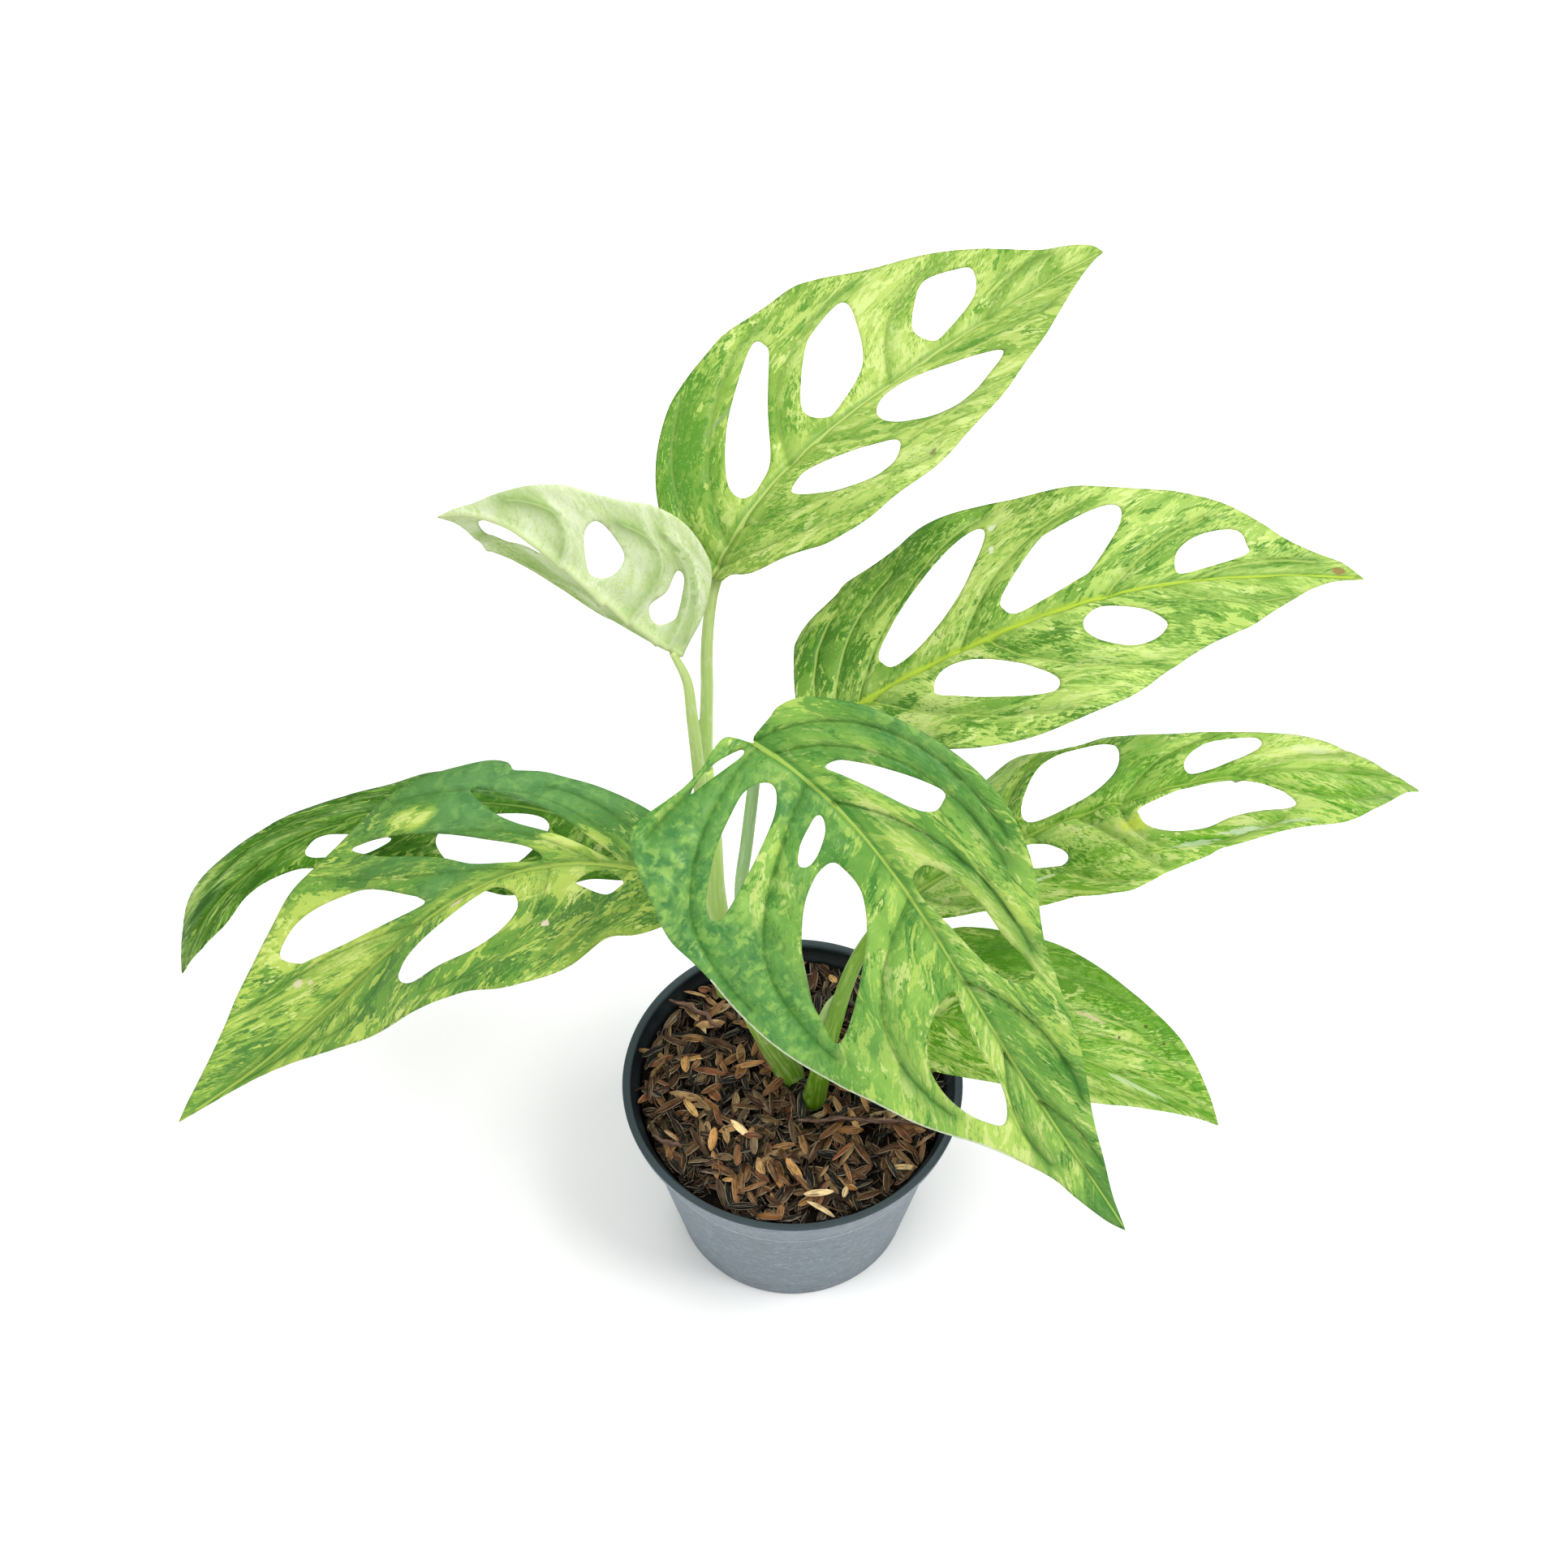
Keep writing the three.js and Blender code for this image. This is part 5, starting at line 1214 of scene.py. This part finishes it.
def husk(rng, long, wide, cup):
    """A boat-shaped shell, pointed at both ends. Its grain ends in how far out a point lies."""
    stations = (0, 0.1, 0.3, 0.55, 0.78, 0.93, 1)
    girths = (0.15, 0.58, 0.94, 1.0, 0.82, 0.42, 0.06)
    across = (-1, -0.5, 0, 0.5, 1)
    twist = rng.uniform(-0.12, 0.12)
    sag = rng.uniform(-0.06, 0.14)
    points, grain = [], []
    for x, girth in zip(stations, girths):
        for y in across:
            rise = cup * wide * 0.5 * (1 - y * y) * girth + twist * y * (x - 0.5) * wide
            points.append(((x - 0.5) * long, y * girth * wide / 2,
                           rise - sag * long * (x - 0.5) ** 2))
            grain.append((y * wide / 2, x * long, abs(y)))
    n = len(across)
    faces = [(i * n + k, (i + 1) * n + k, (i + 1) * n + k + 1, i * n + k + 1)
             for i in range(len(stations) - 1) for k in range(n - 1)]
    return np.array(points), faces, grain


def stick(rng, long, thick, bends, sides=6):
    """A thin crooked twig."""
    stations = np.linspace(0, 1, bends)
    swerves = np.cumsum([0] + [rng.uniform(-1, 1) * thick for _ in stations[1:]])
    points, grain = [], []
    for i, (station, swerve) in enumerate(zip(stations, swerves)):
        r = thick / 2 * (0.55 if i in (0, bends - 1) else 1) * rng.uniform(0.85, 1.15)
        for a in circle(sides):
            points.append(((station - 0.5) * long, swerve + r * math.cos(a), r * math.sin(a)))
            grain.append((a * thick / 2, station * long, 0))
    return np.array(points), ring_faces(bends, sides), grain


def turned(points, yaw, pitch, roll):
    cz, sz, cy, sy, cx, sx = (f(a) for a in (yaw, pitch, roll) for f in (math.cos, math.sin))
    about_x = np.array([[1, 0, 0], [0, cx, -sx], [0, sx, cx]])
    about_y = np.array([[cy, 0, sy], [0, 1, 0], [-sy, 0, cy]])
    about_z = np.array([[cz, -sz, 0], [sz, cz, 0], [0, 0, 1]])
    return points @ (about_z @ about_y @ about_x).T


class Heap:
    """The mix in one mesh: dark humus with husks, slivers and twigs on it."""

    def __init__(self, rng):
        self.rng = rng
        self.points = []
        angles = circle(HEAP_SIDES)
        for z in (2.4, 25, 50, 70):
            r = body_radius(z) - POT["wall"] - 0.35
            self.points += [(r * math.cos(a), r * math.sin(a), z) for a in angles]
        for share in (1, 0.94, 0.88, 0.8, 0.72, 0.64, 0.56, 0.48, 0.4, 0.32, 0.24, 0.16, 0.08):
            for a in angles:
                x, y = MIX_REACH * share * math.cos(a), MIX_REACH * share * math.sin(a)
                self.points.append((x, y, mix_top(x, y) + rng.uniform(-1.3, 0.1)))
        count = len(self.points)
        self.faces = ring_faces(count // HEAP_SIDES, HEAP_SIDES)
        self.face_slots = [1] * len(self.faces)
        self.tints = [(0, 0, 0, 1)] * count
        self.grains = [(0, 0, 0)] * count
        self.edge_highlights = [0] * count

    def add(self, shape, place, turn, colour, light=1.0):
        """Lay a shape on the heap, drawn in where it would pass through the pot."""
        rows, faces, grain = shape
        rows = turned(rows, *turn) + place
        in_band = rows[:, 2] > MIX_SURFACE + 4
        limit = np.where(in_band, POT["rim_radius"] - 3.2, body_radius(MIX_SURFACE) - 1.9)
        reach = np.maximum(np.hypot(rows[:, 0], rows[:, 1]), 1e-6)
        rows[:, :2] *= np.minimum(1, limit / reach)[:, None]
        first = len(self.points)
        self.points += rows.tolist()
        self.faces += [tuple(first + i for i in face) for face in faces]
        self.face_slots += [0] * len(faces)
        # The light factor is painted light and shade on the shape's tint.
        shade = self.rng.uniform(0.7, 1.25) * light
        self.tints += [(*(c * shade for c in linear(colour)[:3]), 1)] * len(rows)
        seed = self.rng.uniform(0, 400)
        self.grains += [(across + seed, along + seed, seed) for across, along, _ in grain]
        self.edge_highlights += [edge_highlight for _, _, edge_highlight in grain]


def build_mix():
    rng = random.Random(11)
    heap = Heap(rng)
    for n in range(HUSKS):
        layer = n / HUSKS  # from 0 deep down, in the dark, to 1 on top
        x, y = anywhere(rng, 0.985)
        kind = rng.random()
        tints = (CHAR_TINTS if kind < CHAR_SHARE else
                 STRAW_TINTS if kind > 1 - STRAW_SHARE else HUSK_TINTS)
        colour = rng.choice(tints)
        is_long = rng.random() < LONG_SHARE
        long = rng.uniform(*(HUSK_LENGTH if is_long else SHORT_HUSK_LENGTH))
        wide = rng.uniform(*HUSK_WIDTH) * (1 if is_long else 0.8)
        cup = rng.choice((-1, 1, 1)) * rng.uniform(0.5, 1.0)
        z = mix_top(x, y) - 1.6 + HUSK_DEPTH * layer ** 1.5 + rng.uniform(-0.4, 0.6)
        shape = husk(rng, long, wide, cup)
        turn = (rng.uniform(0, 2 * math.pi), rng.gauss(0, 0.2), rng.gauss(0, 0.35))
        # Painted light and shade: husks deep in the heap are coloured darker, those on top lighter.
        heap.add(shape, (x, y, z), turn, colour, 0.01 + 1.95 * layer ** 3.8)
    for n in range(SLIVERS):
        x, y = anywhere(rng, 0.95)
        charred = n % 2
        thick = rng.uniform(*(CHAR_THICKNESS if charred else SLIVER_THICKNESS))
        z = mix_top(x, y) + rng.uniform(0.2, 2.0)
        shape = stick(rng, rng.uniform(*SLIVER_LENGTH), thick, bends=4)
        turn = (rng.uniform(0, 2 * math.pi), rng.gauss(0, 0.12), 0)
        heap.add(shape, (x, y, z), turn, rng.choice(CHAR_TINTS if charred else SLIVER_TINTS))
    for x, y, long, thick, yaw in TWIGS:
        shape = stick(rng, long, thick, bends=7)
        heap.add(shape, (x, y, mix_top(x, y) + 3.9), (yaw, 0, 0), "#8a6a5c")
    piece("potting_mix_husks", heap.points, heap.faces, [husk_material(), humus_material()],
          ["potting_mix"], heap.face_slots,
          dict(tint=heap.tints, grain=heap.grains, edge_highlight=heap.edge_highlights))


# The whole plant

for leaf_name in LEAVES:
    build_leaf(leaf_name)
stalk_materials = {kind: stalk_material(f"stalk_{kind}", *tones)
                   for kind, tones in STALK_TONES.items()}
for stalk_name in STALKS:
    kind = STALK_KINDS.get(stalk_name, "green")
    build_stalk(stalk_name, stalk_materials[kind], stalk_materials["sheath"])
build_pot()
build_mix()

# Floor and light

FLOOR_REACH = 4
floor_mesh = bpy.data.meshes.new("floor")
floor_mesh.from_pydata([(-FLOOR_REACH, -FLOOR_REACH, 0), (FLOOR_REACH, -FLOOR_REACH, 0),
                        (FLOOR_REACH, FLOOR_REACH, 0), (-FLOOR_REACH, FLOOR_REACH, 0)],
                       [], [(0, 1, 2, 3)])
floor_mesh.materials.append(floor_material())
floor = bpy.data.objects.new("floor", floor_mesh)
bpy.context.scene.collection.objects.link(floor)

world = bpy.data.worlds.new("studio")
world.use_nodes = True
background = world.node_tree.nodes["Background"]
background.inputs["Color"].default_value = (1, 1, 1, 1)
background.inputs["Strength"].default_value = 0.58 * LIGHT_GAIN
bpy.context.scene.world = world
PLANT_MIDDLE = Vector((0, 0, 0.15))


def soft_light(name, place, size, watts):
    data = bpy.data.lights.new(name, "AREA")
    data.shape = "DISK"
    data.size = size
    data.energy = watts * LIGHT_GAIN
    lamp = bpy.data.objects.new(name, data)
    lamp.location = place
    lamp.rotation_euler = (PLANT_MIDDLE - Vector(place)).to_track_quat("-Z", "Y").to_euler()
    bpy.context.scene.collection.objects.link(lamp)


soft_light("key", (1.4, -0.5, 2.8), size=1.5, watts=60)
soft_light("fill", (-1.9, -0.6, 2.2), size=1.6, watts=14)
soft_light("back", (-0.3, 2.0, 2.2), size=1.6, watts=12)
bpy.context.scene.view_settings.view_transform = "Standard"
